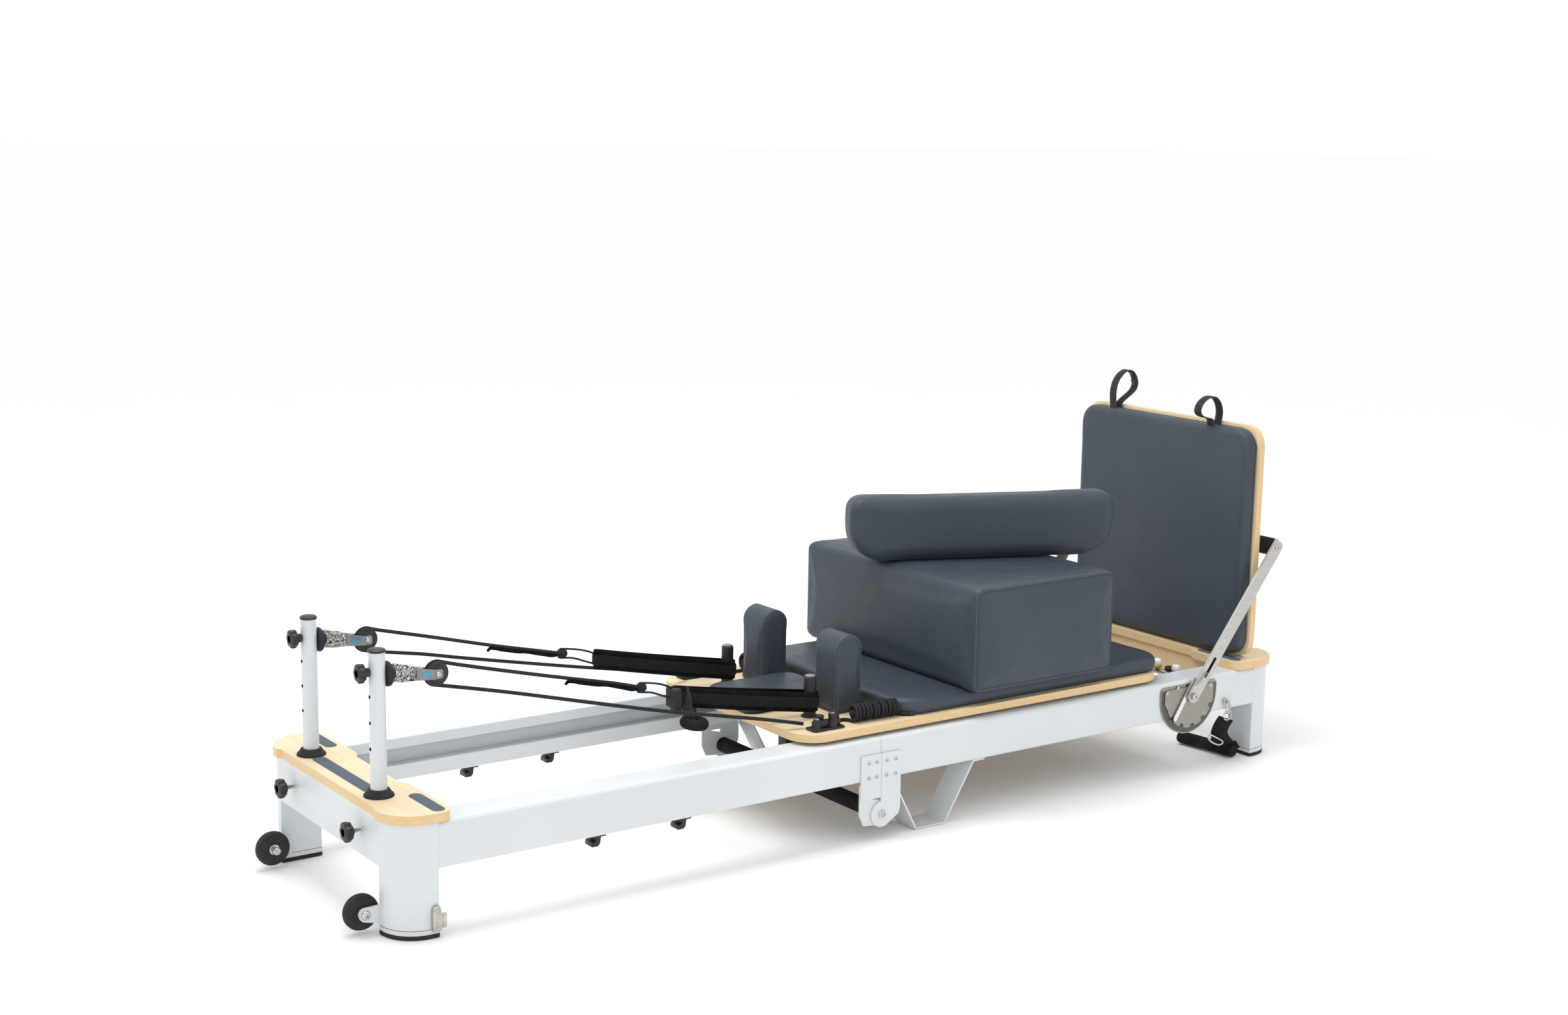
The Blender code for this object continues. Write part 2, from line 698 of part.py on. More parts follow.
def box_bolster():
    """A long thick pad that stands on its edge, askew on the sitting box."""
    foot = Vector((0.2094, 0.0142, 0.0))
    turn = math.radians(-21.5)
    along = Vector((math.cos(turn), math.sin(turn), 0.0))
    across = Vector((-math.sin(turn), math.cos(turn), 0.0))
    layers = []
    for depth, inset in ((0.0, 0.018), (0.005, 0.007), (0.017, 0.0), (0.063, 0.0), (0.075, 0.007), (0.080, 0.018)):
        corners = [(-0.063 + inset, inset, 0.080 - inset), (0.622 - inset, inset, 0.080 - inset),
                   (0.622 - inset, 0.161 - inset, 0.034 - inset), (-0.063 + inset, 0.161 - inset, 0.034 - inset)]
        ring = [foot + along * u + across * depth + Vector((0, 0, 0.5563 + v)) for u, v in rounded(corners, 5)]
        layers.append(ring)
    add("box_bolster", loft("bolster", layers), leatherette())


# Springs


def springs():
    for i, y in enumerate((-0.165, -0.060, 0.060, 0.165), 1):
        spring = bar(f"spring_{i}", "X", (y, SPRING_Z), 0.0085, 0.500, SPRING_BAR_X - 0.0065, 12)
        add(f"spring_{i}", spring, stainless())
    reach = HALF_WIDTH - RAIL_WIDTH - GAP
    rod = add("spring_bar", bar("rod", "Y", (SPRING_BAR_X, SPRING_Z), 0.006, -reach, reach, 14), stainless())
    for _, side in SIDES:
        start, end = sorted((side * (reach - 0.004), side * reach))
        plate = prism("plate", rectangle(0.978, 1.022, 0.190, 0.236, 0.006, 3), "Y", start, end)
        combine(rod, "UNION", plate)


# Foot bar


def notched_outline():
    """The front plate, with the notches that the foot bar's latch drops into."""
    centre = (BAR_PIVOT_X, BAR_PIVOT_Z)
    outline = [(1.030, 0.222), (0.872, 0.222), (0.866, 0.214), (0.866, 0.186)]
    for angle in range(200, 313, 28):
        outline += arc(centre, 0.0835, angle, angle + 17, 3)
        outline += arc(centre, 0.0745, angle + 18, angle + 25, 1)
    outline += [(1.036, 0.172), (1.036, 0.216)]
    return outline


def backing_outline():
    """The D-shaped plate behind it, straight along its top edge."""
    centre = (0.952, BAR_PIVOT_Z)
    outline = arc(centre, 0.0985, 180, 360, 20)
    return outline + arc((1.0385, 0.2170), 0.012, 0, 90, 3) + arc((0.8655, 0.2170), 0.012, 90, 180, 3)


def quadrants():
    for name, side in SIDES:
        start, end = sorted((side * LEAF_INNER, side * (LEAF_INNER + 0.003)))
        plate = add(f"foot_bar_quadrant_{name}", prism("plate", backing_outline(), "Y", start, end),
                    stainless())
        start, end = sorted((side * (LEAF_INNER + 0.002), side * QUADRANT_OUTER))
        combine(plate, "UNION", prism("front", notched_outline(), "Y", start, end))
        start, end = sorted((side * (QUADRANT_OUTER - 0.001), side * (ARM_INNER - GAP)))
        combine(plate, "UNION", bar("boss", "Y", (BAR_PIVOT_X, BAR_PIVOT_Z), 0.008, start, end, 14))


def arm_outline():
    """One foot bar arm: round at the pivot and square with a cut corner at the top."""
    run = Vector((BAR_TOP_X - BAR_PIVOT_X, BAR_TOP_Z - BAR_PIVOT_Z))
    length = run.length + 0.018
    along = run.normalized()
    across = Vector((-along.y, along.x))
    half = 0.0175
    local = arc((0, 0), half, 90, 270, 8)
    local += [(length - 0.008, -half), (length, -half + 0.008), (length, half - 0.004),
              (length - 0.004, half)]
    start = Vector((BAR_PIVOT_X, BAR_PIVOT_Z))
    return [tuple(start + along * a + across * b) for a, b in local]


def foot_bar():
    left = prism("arm", arm_outline(), "Y", -ARM_OUTER, -ARM_INNER)
    frame = add("foot_bar_frame", left, stainless())
    combine(frame, "UNION", bar("cross_tube", "Y", (BAR_TOP_X, BAR_TOP_Z), 0.0100,
                                -ARM_INNER - 0.003, ARM_INNER + 0.003, 16))
    combine(frame, "UNION", prism("arm", arm_outline(), "Y", ARM_INNER, ARM_OUTER))
    for _, side in SIDES:
        start, end = sorted((side * (ARM_OUTER - 0.001), side * (ARM_OUTER + 0.005)))
        combine(frame, "UNION", bar("bolt", "Y", (BAR_PIVOT_X, BAR_PIVOT_Z), 0.009, start, end, 12))
    grip = turned("grip", [(0.0103, -0.337), (0.0225, -0.337), (0.0225, 0.337), (0.0103, 0.337)], 20)
    add("foot_bar_grip", rotated(grip, 90, "X"), black_foam(), (BAR_TOP_X, 0, BAR_TOP_Z))


def foot_bar_latches():
    """The short levers beside the arms whose tips sit in the notches."""
    top = Vector((0.962, 0.240))
    tip = Vector((0.900, 0.146))
    along = (tip - top).normalized()
    across = Vector((-along.y, along.x))
    length = (tip - top).length
    local = arc((0, 0), 0.006, 90, 270, 5) + arc((length, 0), 0.006, -90, 90, 5)
    outline = [tuple(top + along * a + across * b) for a, b in local]
    for name, side in SIDES:
        start, end = sorted((side * 0.3348, side * 0.3392))
        add(f"foot_bar_latch_{name}", prism("latch", outline, "Y", start, end), stainless())


# Jump board

# The webbing loops on the pad's top edge, as X and Z from where each is sewn in.
FAR_LOOP = [(-0.008, 0.0), (-0.010, 0.030), (-0.008, 0.055), (0.0, 0.078), (0.014, 0.096), (0.034, 0.107),
            (0.050, 0.104), (0.062, 0.088), (0.066, 0.068), (0.058, 0.050), (0.036, 0.034), (0.014, 0.018),
            (0.008, 0.0)]
NEAR_LOOP = [(0.010, 0.0), (0.016, 0.018), (0.015, 0.040), (0.006, 0.062), (-0.012, 0.078), (-0.034, 0.076),
             (-0.052, 0.062), (-0.058, 0.044), (-0.050, 0.030), (-0.030, 0.022), (-0.012, 0.017), (-0.008, 0.0)]



def jump_board():
    panel = prism("panel", rectangle(-0.3175, 0.3175, PLATFORM_TOP + GAP, 0.862, 0.050, 6), "X",
                  1.1773, 1.1953)
    add("jump_board_panel", panel, birch())
    layers = []
    for x, inset in ((1.1770, 0.0), (1.1540, 0.0), (1.1475, 0.003), (1.1450, 0.010)):
        outline = rectangle(-0.3145 + inset, 0.3145 - inset, 0.2620 + inset, 0.8590 - inset, 0.048, 6)
        layers.append([Vector((x, y, z)) for y, z in outline])
    pad = add("jump_board_pad", loft("pad", layers), leatherette())
    for y, loop in ((0.190, FAR_LOOP), (-0.170, NEAR_LOOP)):
        outer = [(1.1603 + x, 0.8483 + z) for x, z in loop]
        middle = Vector((sum(x for x, _ in outer), sum(z for _, z in outer))) / len(outer)
        inner = [tuple(Vector(p) + (middle - Vector(p)).normalized() * 0.003) for p in outer]
        combine(pad, "UNION", tube("loop", outer, inner, "Y", y - 0.0125, y + 0.0125))


# Spare handle


def spare_handle():
    """A webbing handle that hangs from the left rail, its grip near the floor."""
    near = Vector((1.146, -0.312, 0.0166))
    far = Vector((1.126, -0.142, 0.0166))
    along = (far - near).normalized()
    level = along.cross(Vector((0, 0, 1))).normalized()
    up = level.cross(along)
    layers = []
    for point in (near, far):
        layers.append([point + 0.016 * (math.cos(t) * level + math.sin(t) * up)
                       for t in [2 * math.pi * k / 16 for k in range(16)]])
    grip = add("spare_handle", loft("grip", layers), black_foam())
    strap = [
        [Vector((x, y, 0.024)) for x, y in ((1.120, -0.314), (1.168, -0.314), (1.168, -0.306), (1.120, -0.306))],
        [Vector((x, y, 0.116)) for x, y in ((1.092, -0.338), (1.128, -0.338), (1.128, -0.331), (1.092, -0.331))],
    ]
    combine(grip, "UNION", loft("strap", strap))
    combine(grip, "UNION", block("hook", 1.086, 1.102, -0.3375, -0.3315, 0.110, 0.158))


def main():
    clear_scene()
    rails()
    frame_ends()
    platforms()
    fold_leaves()
    middle_feet()
    lifting_bar()
    risers()
    pulleys()
    ropes()
    transport_wheels()
    transport_latch()
    carriage_board()
    deck_pad()
    headrest()
    shoulder_rests()
    underframe()
    runners()
    strap_pegs()
    strap_loops()
    sitting_box()
    box_bolster()
    springs()
    quadrants()
    foot_bar()
    foot_bar_latches()
    jump_board()
    spare_handle()


main()
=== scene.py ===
"""The looks of the folding pilates reformer: finishes, upholstery, ropes, straps and fittings on its CAD frame.

Metres, +Z up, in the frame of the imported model. Left is the -Y side and right is the +Y side.
"""

import math

import bmesh
import bpy
from mathutils import Matrix, Vector
from mathutils.bvhtree import BVHTree


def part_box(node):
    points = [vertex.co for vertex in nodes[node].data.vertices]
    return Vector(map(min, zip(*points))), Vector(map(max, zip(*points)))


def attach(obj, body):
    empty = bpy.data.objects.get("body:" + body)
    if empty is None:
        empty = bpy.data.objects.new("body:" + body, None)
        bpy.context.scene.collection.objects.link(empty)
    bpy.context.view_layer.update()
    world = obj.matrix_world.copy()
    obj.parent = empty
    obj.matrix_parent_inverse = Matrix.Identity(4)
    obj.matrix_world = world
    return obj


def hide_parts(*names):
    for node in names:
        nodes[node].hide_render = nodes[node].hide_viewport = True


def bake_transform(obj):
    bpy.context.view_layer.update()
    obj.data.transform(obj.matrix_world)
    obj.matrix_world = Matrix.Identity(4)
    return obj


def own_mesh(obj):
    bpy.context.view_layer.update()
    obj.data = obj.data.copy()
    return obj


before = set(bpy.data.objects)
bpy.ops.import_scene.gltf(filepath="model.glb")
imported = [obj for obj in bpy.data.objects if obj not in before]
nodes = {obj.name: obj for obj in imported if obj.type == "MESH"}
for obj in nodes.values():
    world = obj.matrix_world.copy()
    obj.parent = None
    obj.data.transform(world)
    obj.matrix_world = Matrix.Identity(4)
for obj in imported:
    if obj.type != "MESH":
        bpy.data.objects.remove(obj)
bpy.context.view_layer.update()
SIDES = (("left", -1), ("right", 1))
TAU = 2 * math.pi
UP, ALONG_X, ALONG_Y = (0, 0, 1), (1, 0, 0), (0, 1, 0)


# Finishes


class Finish:
    """A Principled material whose colour, roughness and relief come from textures in object space."""

    def __init__(self, name, colour, roughness, metallic=0.0, specular=0.5, **sockets):
        self.material = bpy.data.materials.new(name)
        self.material.use_nodes = True
        self.tree = self.material.node_tree
        self.shader = self.tree.nodes["Principled BSDF"]
        self.shader.inputs["Base Color"].default_value = (*colour, 1)
        self.shader.inputs["Roughness"].default_value = roughness
        self.shader.inputs["Metallic"].default_value = metallic
        self.shader.inputs["Specular IOR Level"].default_value = specular
        for key, value in sockets.items():
            self.shader.inputs[key.replace("_", " ")].default_value = value
        texture = self.add("TexCoord")
        self.place = texture.outputs["Object"]
        self.facing = texture.outputs["Normal"]
        self.uv = texture.outputs["UV"]
        self.normal = None

    def add(self, kind, values=None, **settings):
        node = self.tree.nodes.new("ShaderNode" + kind)
        for key, value in settings.items():
            setattr(node, key, value)
        for key, value in (values or {}).items():
            if isinstance(value, bpy.types.NodeSocket):
                self.tree.links.new(value, node.inputs[key])
            else:
                node.inputs[key].default_value = value
        return node

    def math(self, operation, a, b=0.0):
        return self.add("Math", {0: a, 1: b}, operation=operation).outputs[0]

    def axes(self, vector=None):
        return self.add("SeparateXYZ", {0: vector or self.place}).outputs

    def mapped(self, scale=(1, 1, 1), turn=(0, 0, 0), vector=None):
        values = {"Vector": vector or self.place, "Scale": scale, "Rotation": turn}
        return self.add("Mapping", values).outputs[0]

    def noise(self, scale, detail=2.0, vector=None, distortion=0.0):
        values = {"Vector": vector or self.place, "Scale": scale, "Detail": detail,
                  "Distortion": distortion}
        return self.add("TexNoise", values).outputs["Fac"]

    def cells(self, scale, feature="F1", vector=None):
        node = self.add("TexVoronoi", {"Vector": vector or self.place, "Scale": scale}, feature=feature)
        return node.outputs["Distance"]

    def wave(self, value, wavelength):
        return self.math("SINE", self.math("MULTIPLY", value, TAU / wavelength))

    def span(self, value, low, high, to_low=0.0, to_high=1.0):
        values = {"Value": value, "From Min": low, "From Max": high, "To Min": to_low, "To Max": to_high}
        return self.add("MapRange", values).outputs[0]

    def tint(self, factor, dark, light):
        colours = [c if isinstance(c, bpy.types.NodeSocket) else (*c, 1) for c in (dark, light)]
        return self.add("Mix", {0: factor, 6: colours[0], 7: colours[1]}, data_type="RGBA").outputs[2]

    def base(self, colour):
        self.tree.links.new(colour, self.shader.inputs["Base Color"])

    def rough(self, value, low, high):
        self.tree.links.new(self.span(value, 0.3, 0.7, low, high), self.shader.inputs["Roughness"])

    def relief(self, height, strength, distance):
        values = {"Height": height, "Strength": strength, "Distance": distance}
        if self.normal:
            values["Normal"] = self.normal
        self.normal = self.add("Bump", values).outputs[0]
        self.tree.links.new(self.normal, self.shader.inputs["Normal"])


def make_paint():
    f = Finish("white_powder_coat", (0.68, 0.71, 0.73), 0.36, specular=0.45)
    f.base(f.tint(f.span(f.noise(5, 3), 0.3, 0.7), (0.625, 0.66, 0.685), (0.668, 0.698, 0.716)))
    f.rough(f.noise(38, 3), 0.3, 0.44)
    f.relief(f.noise(900, 2), 0.1, 0.0003)
    return f.material


def make_birch(name, layer, grain):
    """Birch plywood: a figured face veneer, and stacked plies where the surface faces away from the layer axis."""
    f = Finish(name, (0.78, 0.6, 0.37), 0.45, specular=0.4)
    long_scale = {"X": (1.2, 26, 26), "Y": (26, 1.2, 26), "Z": (26, 26, 1.2)}[grain]
    figure = f.noise(3.0, 5, f.mapped(long_scale), 0.5)
    pores = f.noise(16.0, 3, f.mapped(long_scale))
    face = f.tint(f.span(figure, 0.3, 0.72), (0.795, 0.655, 0.44), (0.725, 0.57, 0.36))
    face = f.tint(f.span(pores, 0.56, 0.78, 0, 0.22), face, (0.6, 0.43, 0.245))
    depth = f.axes()["XYZ".index(layer)]
    wobble = f.math("MULTIPLY", f.noise(14, 2), 0.0006)
    plies = f.span(f.wave(f.math("ADD", depth, wobble), 0.003), -0.25, 0.25)
    flecks = f.noise(90, 3)
    edge = f.tint(plies, (0.64, 0.44, 0.225), (0.79, 0.575, 0.31))
    edge = f.tint(f.span(flecks, 0.45, 0.75, 0, 0.45), edge, (0.8, 0.6, 0.34))
    side = f.math("ABSOLUTE", f.axes(f.facing)["XYZ".index(layer)])
    f.base(f.tint(f.span(side, 0.6, 0.75), edge, face))
    f.rough(figure, 0.36, 0.5)
    f.relief(pores, 0.06, 0.0004)
    return f.material


def make_leatherette():
    f = Finish("slate_leatherette", (0.046, 0.059, 0.076), 0.5, specular=0.34)
    broad = f.noise(4.5, 3)
    fine = f.noise(60, 3)
    colour = f.tint(f.span(broad, 0.3, 0.7), (0.038, 0.05, 0.065), (0.046, 0.059, 0.076))
    f.base(f.tint(f.span(fine, 0.35, 0.8, 0, 0.22), colour, (0.058, 0.072, 0.09)))
    f.rough(f.noise(25, 3), 0.4, 0.52)
    f.relief(f.span(f.cells(620), 0.0, 0.8), 0.2, 0.0005)
    f.relief(f.noise(240, 4), 0.12, 0.0006)
    return f.material


def make_dark(name, colour, low, high, scale, strength, distance, cells=False, specular=0.4):
    f = Finish(name, colour, low, specular=specular)
    light = tuple(1.8 * c + 0.002 for c in colour)
    f.base(f.tint(f.span(f.noise(30, 4), 0.35, 0.75), colour, light))
    f.rough(f.noise(70, 2), low, high)
    f.relief(f.cells(scale) if cells else f.noise(scale, 3), strength, distance)
    return f.material


def make_webbing(name, colour, light, stripes=()):
    """Woven tape. U runs along it and V across it, both in metres."""
    f = Finish(name, colour, 0.8, specular=0.25)
    along, across, _ = f.axes(f.uv)
    weave = f.math("MULTIPLY", f.wave(along, 0.0024), f.wave(across, 0.0028))
    shade = f.tint(f.span(weave, -0.7, 0.9), colour, light)
    for low, high, tone in stripes:
        centre, half = (low + high) / 2, (high - low) / 2
        away = f.math("ABSOLUTE", f.math("SUBTRACT", across, centre))
        shade = f.tint(f.span(away, half, half + 0.0006, 1, 0), shade, tone)
    f.base(shade)
    f.rough(f.noise(50, 2), 0.72, 0.9)
    f.relief(weave, 0.5, 0.0005)
    f.relief(f.wave(across, 0.0056), 0.15, 0.0004)
    return f.material


def make_rope(name, colour, light, braid=0.011):
    """Braided cord. U runs along it in metres and V once round it."""
    f = Finish(name, colour, 0.78, specular=0.3)
    along, round_it, _ = f.axes(f.uv)
    turns = f.math("MULTIPLY", along, TAU / braid)
    sweep = f.math("MULTIPLY", round_it, 3 * TAU)
    one = f.math("SINE", f.math("ADD", turns, sweep))
    two = f.math("SINE", f.math("SUBTRACT", turns, sweep))
    plait = f.math("MULTIPLY", one, two)
    f.base(f.tint(f.span(plait, -0.6, 0.9), colour, light))
    f.relief(plait, 0.75, 0.0009)
    f.relief(f.noise(900, 2), 0.3, 0.0003)
    return f.material


def make_metal(name, colour, low, high, turn=(0, 0, 0), scale=(4, 260, 260), worn=0.12):
    """Brushed or cast metal: the grain runs along the X axis of its turned space."""
    f = Finish(name, colour, low, metallic=1.0)
    lines = f.noise(4.0, 4, f.mapped(scale, turn))
    dark = tuple(c * (1 - worn * 2) for c in colour)
    f.base(f.tint(f.span(lines, 0.3, 0.72), dark, colour))
    f.rough(f.noise(3.0, 4, f.mapped(scale, turn)), low, high)
    f.relief(lines, 0.1, 0.0003)
    return f.material


def make_crackle():
    """The strap that holds each pulley: off-white tape printed with an irregular black net."""
    f = Finish("crackle_tape", (0.68, 0.66, 0.62), 0.7, specular=0.3)
    bent = f.mapped((1.0, 1.25, 1.0))
    lines = f.cells(165, "DISTANCE_TO_EDGE", bent)
    worms = f.noise(330, 3, distortion=1.4)
    ink = f.math("MINIMUM", f.span(lines, 0.05, 0.1), f.span(worms, 0.44, 0.47))
    f.base(f.tint(ink, (0.022, 0.022, 0.024), (0.66, 0.64, 0.6)))
    f.relief(f.noise(700, 2), 0.35, 0.0004)
    f.relief(ink, 0.25, 0.0003)
    return f.material


def make_inlay(name, axis):
    """Ribbed grip strip, its ribs spaced along the axis."""
    f = Finish(name, (0.1, 0.128, 0.162), 0.8, specular=0.3)
    ribs = f.wave(f.axes()["XYZ".index(axis)], 0.003)
    f.base(f.tint(f.span(ribs, -0.8, 0.8), (0.075, 0.098, 0.125), (0.125, 0.156, 0.192)))
    f.relief(ribs, 0.6, 0.0006)
    f.relief(f.noise(500, 2), 0.25, 0.0003)
    return f.material


ARM_TURN = (0, math.radians(52.0), 0)
PAINT = make_paint()
BIRCH_DECK = make_birch("birch_ply_deck", "Z", "X")
BIRCH_PLATFORM = make_birch("birch_ply_platform", "Z", "Y")
BIRCH_UPRIGHT = make_birch("birch_ply_upright", "X", "Z")
LEATHER = make_leatherette()
FOAM = make_dark("black_closed_cell_foam", (0.01, 0.01, 0.011), 0.86, 0.97, 420, 0.6, 0.001, True, 0.2)
PLASTIC = make_dark("black_moulded_nylon", (0.012, 0.0125, 0.014), 0.34, 0.5, 650, 0.18, 0.0004)
RUBBER = make_dark("black_rubber", (0.016, 0.016, 0.018), 0.62, 0.8, 320, 0.25, 0.0005, False, 0.3)
FLEECE = make_dark("black_strap_lining", (0.0045, 0.0045, 0.0052), 0.88, 1.0, 1100, 0.8, 0.001, False, 0.1)
WEBBING = make_webbing("black_webbing", (0.005, 0.0052, 0.006), (0.0125, 0.013, 0.0145))
GREY_WEBBING = make_webbing("dark_grey_webbing", (0.022, 0.025, 0.029), (0.048, 0.053, 0.06),
                            [(0.0085, 0.01, (0.012, 0.013, 0.015)), (0.015, 0.0165, (0.012, 0.013, 0.015))])
ROPE = make_rope("black_braided_rope", (0.008, 0.009, 0.0105), (0.03, 0.033, 0.038))
THREAD = make_rope("pale_thread", (0.2, 0.23, 0.26), (0.42, 0.46, 0.5), 0.0016)
ARM_STEEL = make_metal("brushed_stainless_arm", (0.6, 0.585, 0.56), 0.24, 0.42, ARM_TURN)
STEEL = make_metal("stainless_fittings", (0.62, 0.61, 0.59), 0.2, 0.34)
CHROME = make_metal("polished_chrome", (0.78, 0.78, 0.77), 0.07, 0.14)
# Dark taupe used only behind the quadrant's notches: painted shade standing in for the shadow inside the notches.
NOTCH_SHADE_TAUPE = make_metal("taupe_notch_painted_shade", (0.15, 0.14, 0.125), 0.4, 0.55, scale=(60, 60, 60))
TAUPE = make_metal("taupe_cast_plate", (0.36, 0.345, 0.315), 0.34, 0.5, scale=(60, 60, 60))
NICKEL = make_metal("warm_nickel", (0.56, 0.525, 0.47), 0.24, 0.38, scale=(30, 120, 6))
GREY_CHEEK = make_dark("grey_pulley_cheek", (0.165, 0.168, 0.172), 0.42, 0.56, 500, 0.2, 0.0004)
PLATE = make_dark("plain_blue_grey_plate", (0.06, 0.19, 0.3), 0.4, 0.55, 300, 0.1, 0.0003)
WHITE_NYLON = make_dark("white_nylon", (0.7, 0.7, 0.68), 0.35, 0.5, 400, 0.1, 0.0003)
YELLOW = make_dark("yellow_nylon", (0.42, 0.3, 0.02), 0.4, 0.55, 400, 0.1, 0.0003)
RED = make_dark("red_nylon", (0.3, 0.015, 0.012), 0.4, 0.55, 400, 0.1, 0.0003)
CRACKLE = make_crackle()
INLAY = make_inlay("grey_grip_inlay_wide", "X")
# Near-black used for discs and slabs laid over holes and slots: painted shade standing in for the dark inside of an
# opening.
HOLE_PAINTED_SHADE = make_dark("bore_painted_shade", (0.004, 0.004, 0.004), 0.8, 0.95, 300, 0.1, 0.0003, False, 0.1)


# Shapes


def piece(name, bm, finish, body, slot=None, sharp=35.0, stands_for=()):
    """A mesh piece of one finish. One with no body is left unattached."""
    bmesh.ops.recalc_face_normals(bm, faces=bm.faces)
    data = bpy.data.meshes.new(name)
    bm.to_mesh(data)
    bm.free()
    data.materials.append(finish)
    data.shade_smooth()
    if sharp:
        data.set_sharp_from_angle(angle=math.radians(sharp))
    obj = bpy.data.objects.new(name, data)
    bpy.context.scene.collection.objects.link(obj)
    if body:
        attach(obj, body)
    if stands_for:
        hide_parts(*stands_for)
    return obj


def build(name, finish, body, *shapes, **more):
    """A piece made of several shapes, each given as its function and what that function takes."""
    bm = bmesh.new()
    for shape, *values in shapes:
        shape(bm, *values)
    return piece(name, bm, finish, body, **more)


def rings(bm, loops, closed_ends=True, wrap=False, uvs=None):
    """Skins a list of closed loops of points. uvs gives (U, V step) for each loop."""
    made = [[bm.verts.new(p) for p in loop] for loop in loops]
    layer = bm.loops.layers.uv.verify() if uvs else None
    pairs = list(zip(range(len(made)), range(1, len(made))))
    if wrap:
        pairs.append((len(made) - 1, 0))
    for first, second in pairs:
        count = len(made[first])
        for i in range(count):
            j = (i + 1) % count
            around = (made[first][i], made[first][j], made[second][j], made[second][i])
            face = bm.faces.new(around)
            if layer:
                u0, u1 = uvs[first][0], uvs[second][0] if second else uvs[first][0] + 0.002
                v = uvs[first][1]
                corners = ((u0, v[i]), (u0, v[i + 1]), (u1, v[i + 1]), (u1, v[i]))
                for corner, place in zip(face.loops, corners):
                    corner[layer].uv = place
    if closed_ends and not wrap:
        bm.faces.new(made[0][::-1])
        bm.faces.new(made[-1])


def frames(points, up):
    """(point, side, above) along a path, with side level to up where it can be."""
    found = []
    above = Vector(up)
    for i, p in enumerate(points):
        ahead = (points[min(i + 1, len(points) - 1)] - points[max(i - 1, 0)]).normalized()
        side = ahead.cross(above)
        if side.length < 1e-6:
            side = ahead.orthogonal()
        side.normalize()
        above = side.cross(ahead).normalized()
        found.append((p, side, above))
    return found


def tube(bm, points, radius, sides=10, up=(0, 0, 1), flat=1.0, cap=True):
    """A round or flattened tube. radius is one number or one for each point."""
    points = [Vector(p) for p in points]
    sizes = radius if isinstance(radius, (list, tuple)) else [radius] * len(points)
    loops, uvs, run = [], [], 0.0
    steps = [k / sides for k in range(sides + 1)]
    for i, (p, side, above) in enumerate(frames(points, up)):
        run += (p - points[i - 1]).length if i else 0.0
        turns = [TAU * k / sides for k in range(sides)]
        loops.append([p + sizes[i] * (math.cos(t) * side + flat * math.sin(t) * above) for t in turns])
        uvs.append((run, steps))
    rings(bm, loops, cap, False, uvs)


def tape(bm, points, width, thickness, across, closed=False):
    """A flat tape along a path, its width along across and its thickness towards the path's outside."""
    points = [Vector(p) for p in points]
    across = Vector(across).normalized()
    half, deep = width / 2, thickness / 2
    edge = min(deep * 0.6, half * 0.2)
    outline = [(-half, -deep + edge), (-half + edge, -deep), (half - edge, -deep), (half, -deep + edge),
               (half, deep - edge), (half - edge, deep), (-half + edge, deep), (-half, deep - edge)]
    spread = [0.0, 0.0, width, width, width, width, 0.0, 0.0, 0.0]
    loops, uvs, run = [], [], 0.0
    count = len(points)
    for i, p in enumerate(points):
        if closed:
            ahead = points[(i + 1) % count] - points[i - 1]
        else:
            ahead = points[min(i + 1, count - 1)] - points[max(i - 1, 0)]
        flat = (across - ahead.normalized() * across.dot(ahead.normalized())).normalized()
        out = ahead.normalized().cross(flat)
        run += (p - points[i - 1]).length if i else 0.0
        loops.append([p + a * flat + b * out for a, b in outline])
        uvs.append((run, spread))
    rings(bm, loops, not closed, closed, uvs)


def smooth_path(points, steps=3, closed=False):
    """Catmull-Rom through the points."""
    points = [Vector(p) for p in points]
    count = len(points)
    found = []
    for i in range(count if closed else count - 1):
        if closed:
            a, b, c, d = (points[(i + k) % count] for k in (-1, 0, 1, 2))
        else:
            b, c = points[i], points[i + 1]
            a = points[i - 1] if i else 2 * b - c
            d = points[i + 2] if i + 2 < count else 2 * c - b
        for k in range(steps):
            t = k / steps
            found.append(0.5 * (2 * b + (c - a) * t + (2 * a - 5 * b + 4 * c - d) * t * t
                                + (3 * b - a - 3 * c + d) * t ** 3))
    if not closed:
        found.append(points[-1])
    return found


def turned(bm, profile, origin, axis, steps=32):
    """Revolves (radius, height) pairs about an axis. A zero radius closes that end."""
    turn = Vector((0, 0, 1)).rotation_difference(Vector(axis).normalized()).to_matrix()
    origin = Vector(origin)
    loops = []
    for r, h in profile:
        count = 1 if r == 0 else steps
        angles = [TAU * k / steps for k in range(count)]
        loops.append([bm.verts.new(origin + turn @ Vector((r * math.cos(t), r * math.sin(t), h))) for t in angles])
    for first, second in zip(loops, loops[1:]):
        for k in range(steps):
            j = (k + 1) % steps
            unique = list(dict.fromkeys((first[k % len(first)], first[j % len(first)],
                                         second[j % len(second)], second[k % len(second)])))
            if len(unique) > 2:
                bm.faces.new(unique)
    for loop in (loops[0], loops[-1]):
        if len(loop) > 1:
            bm.faces.new(loop)


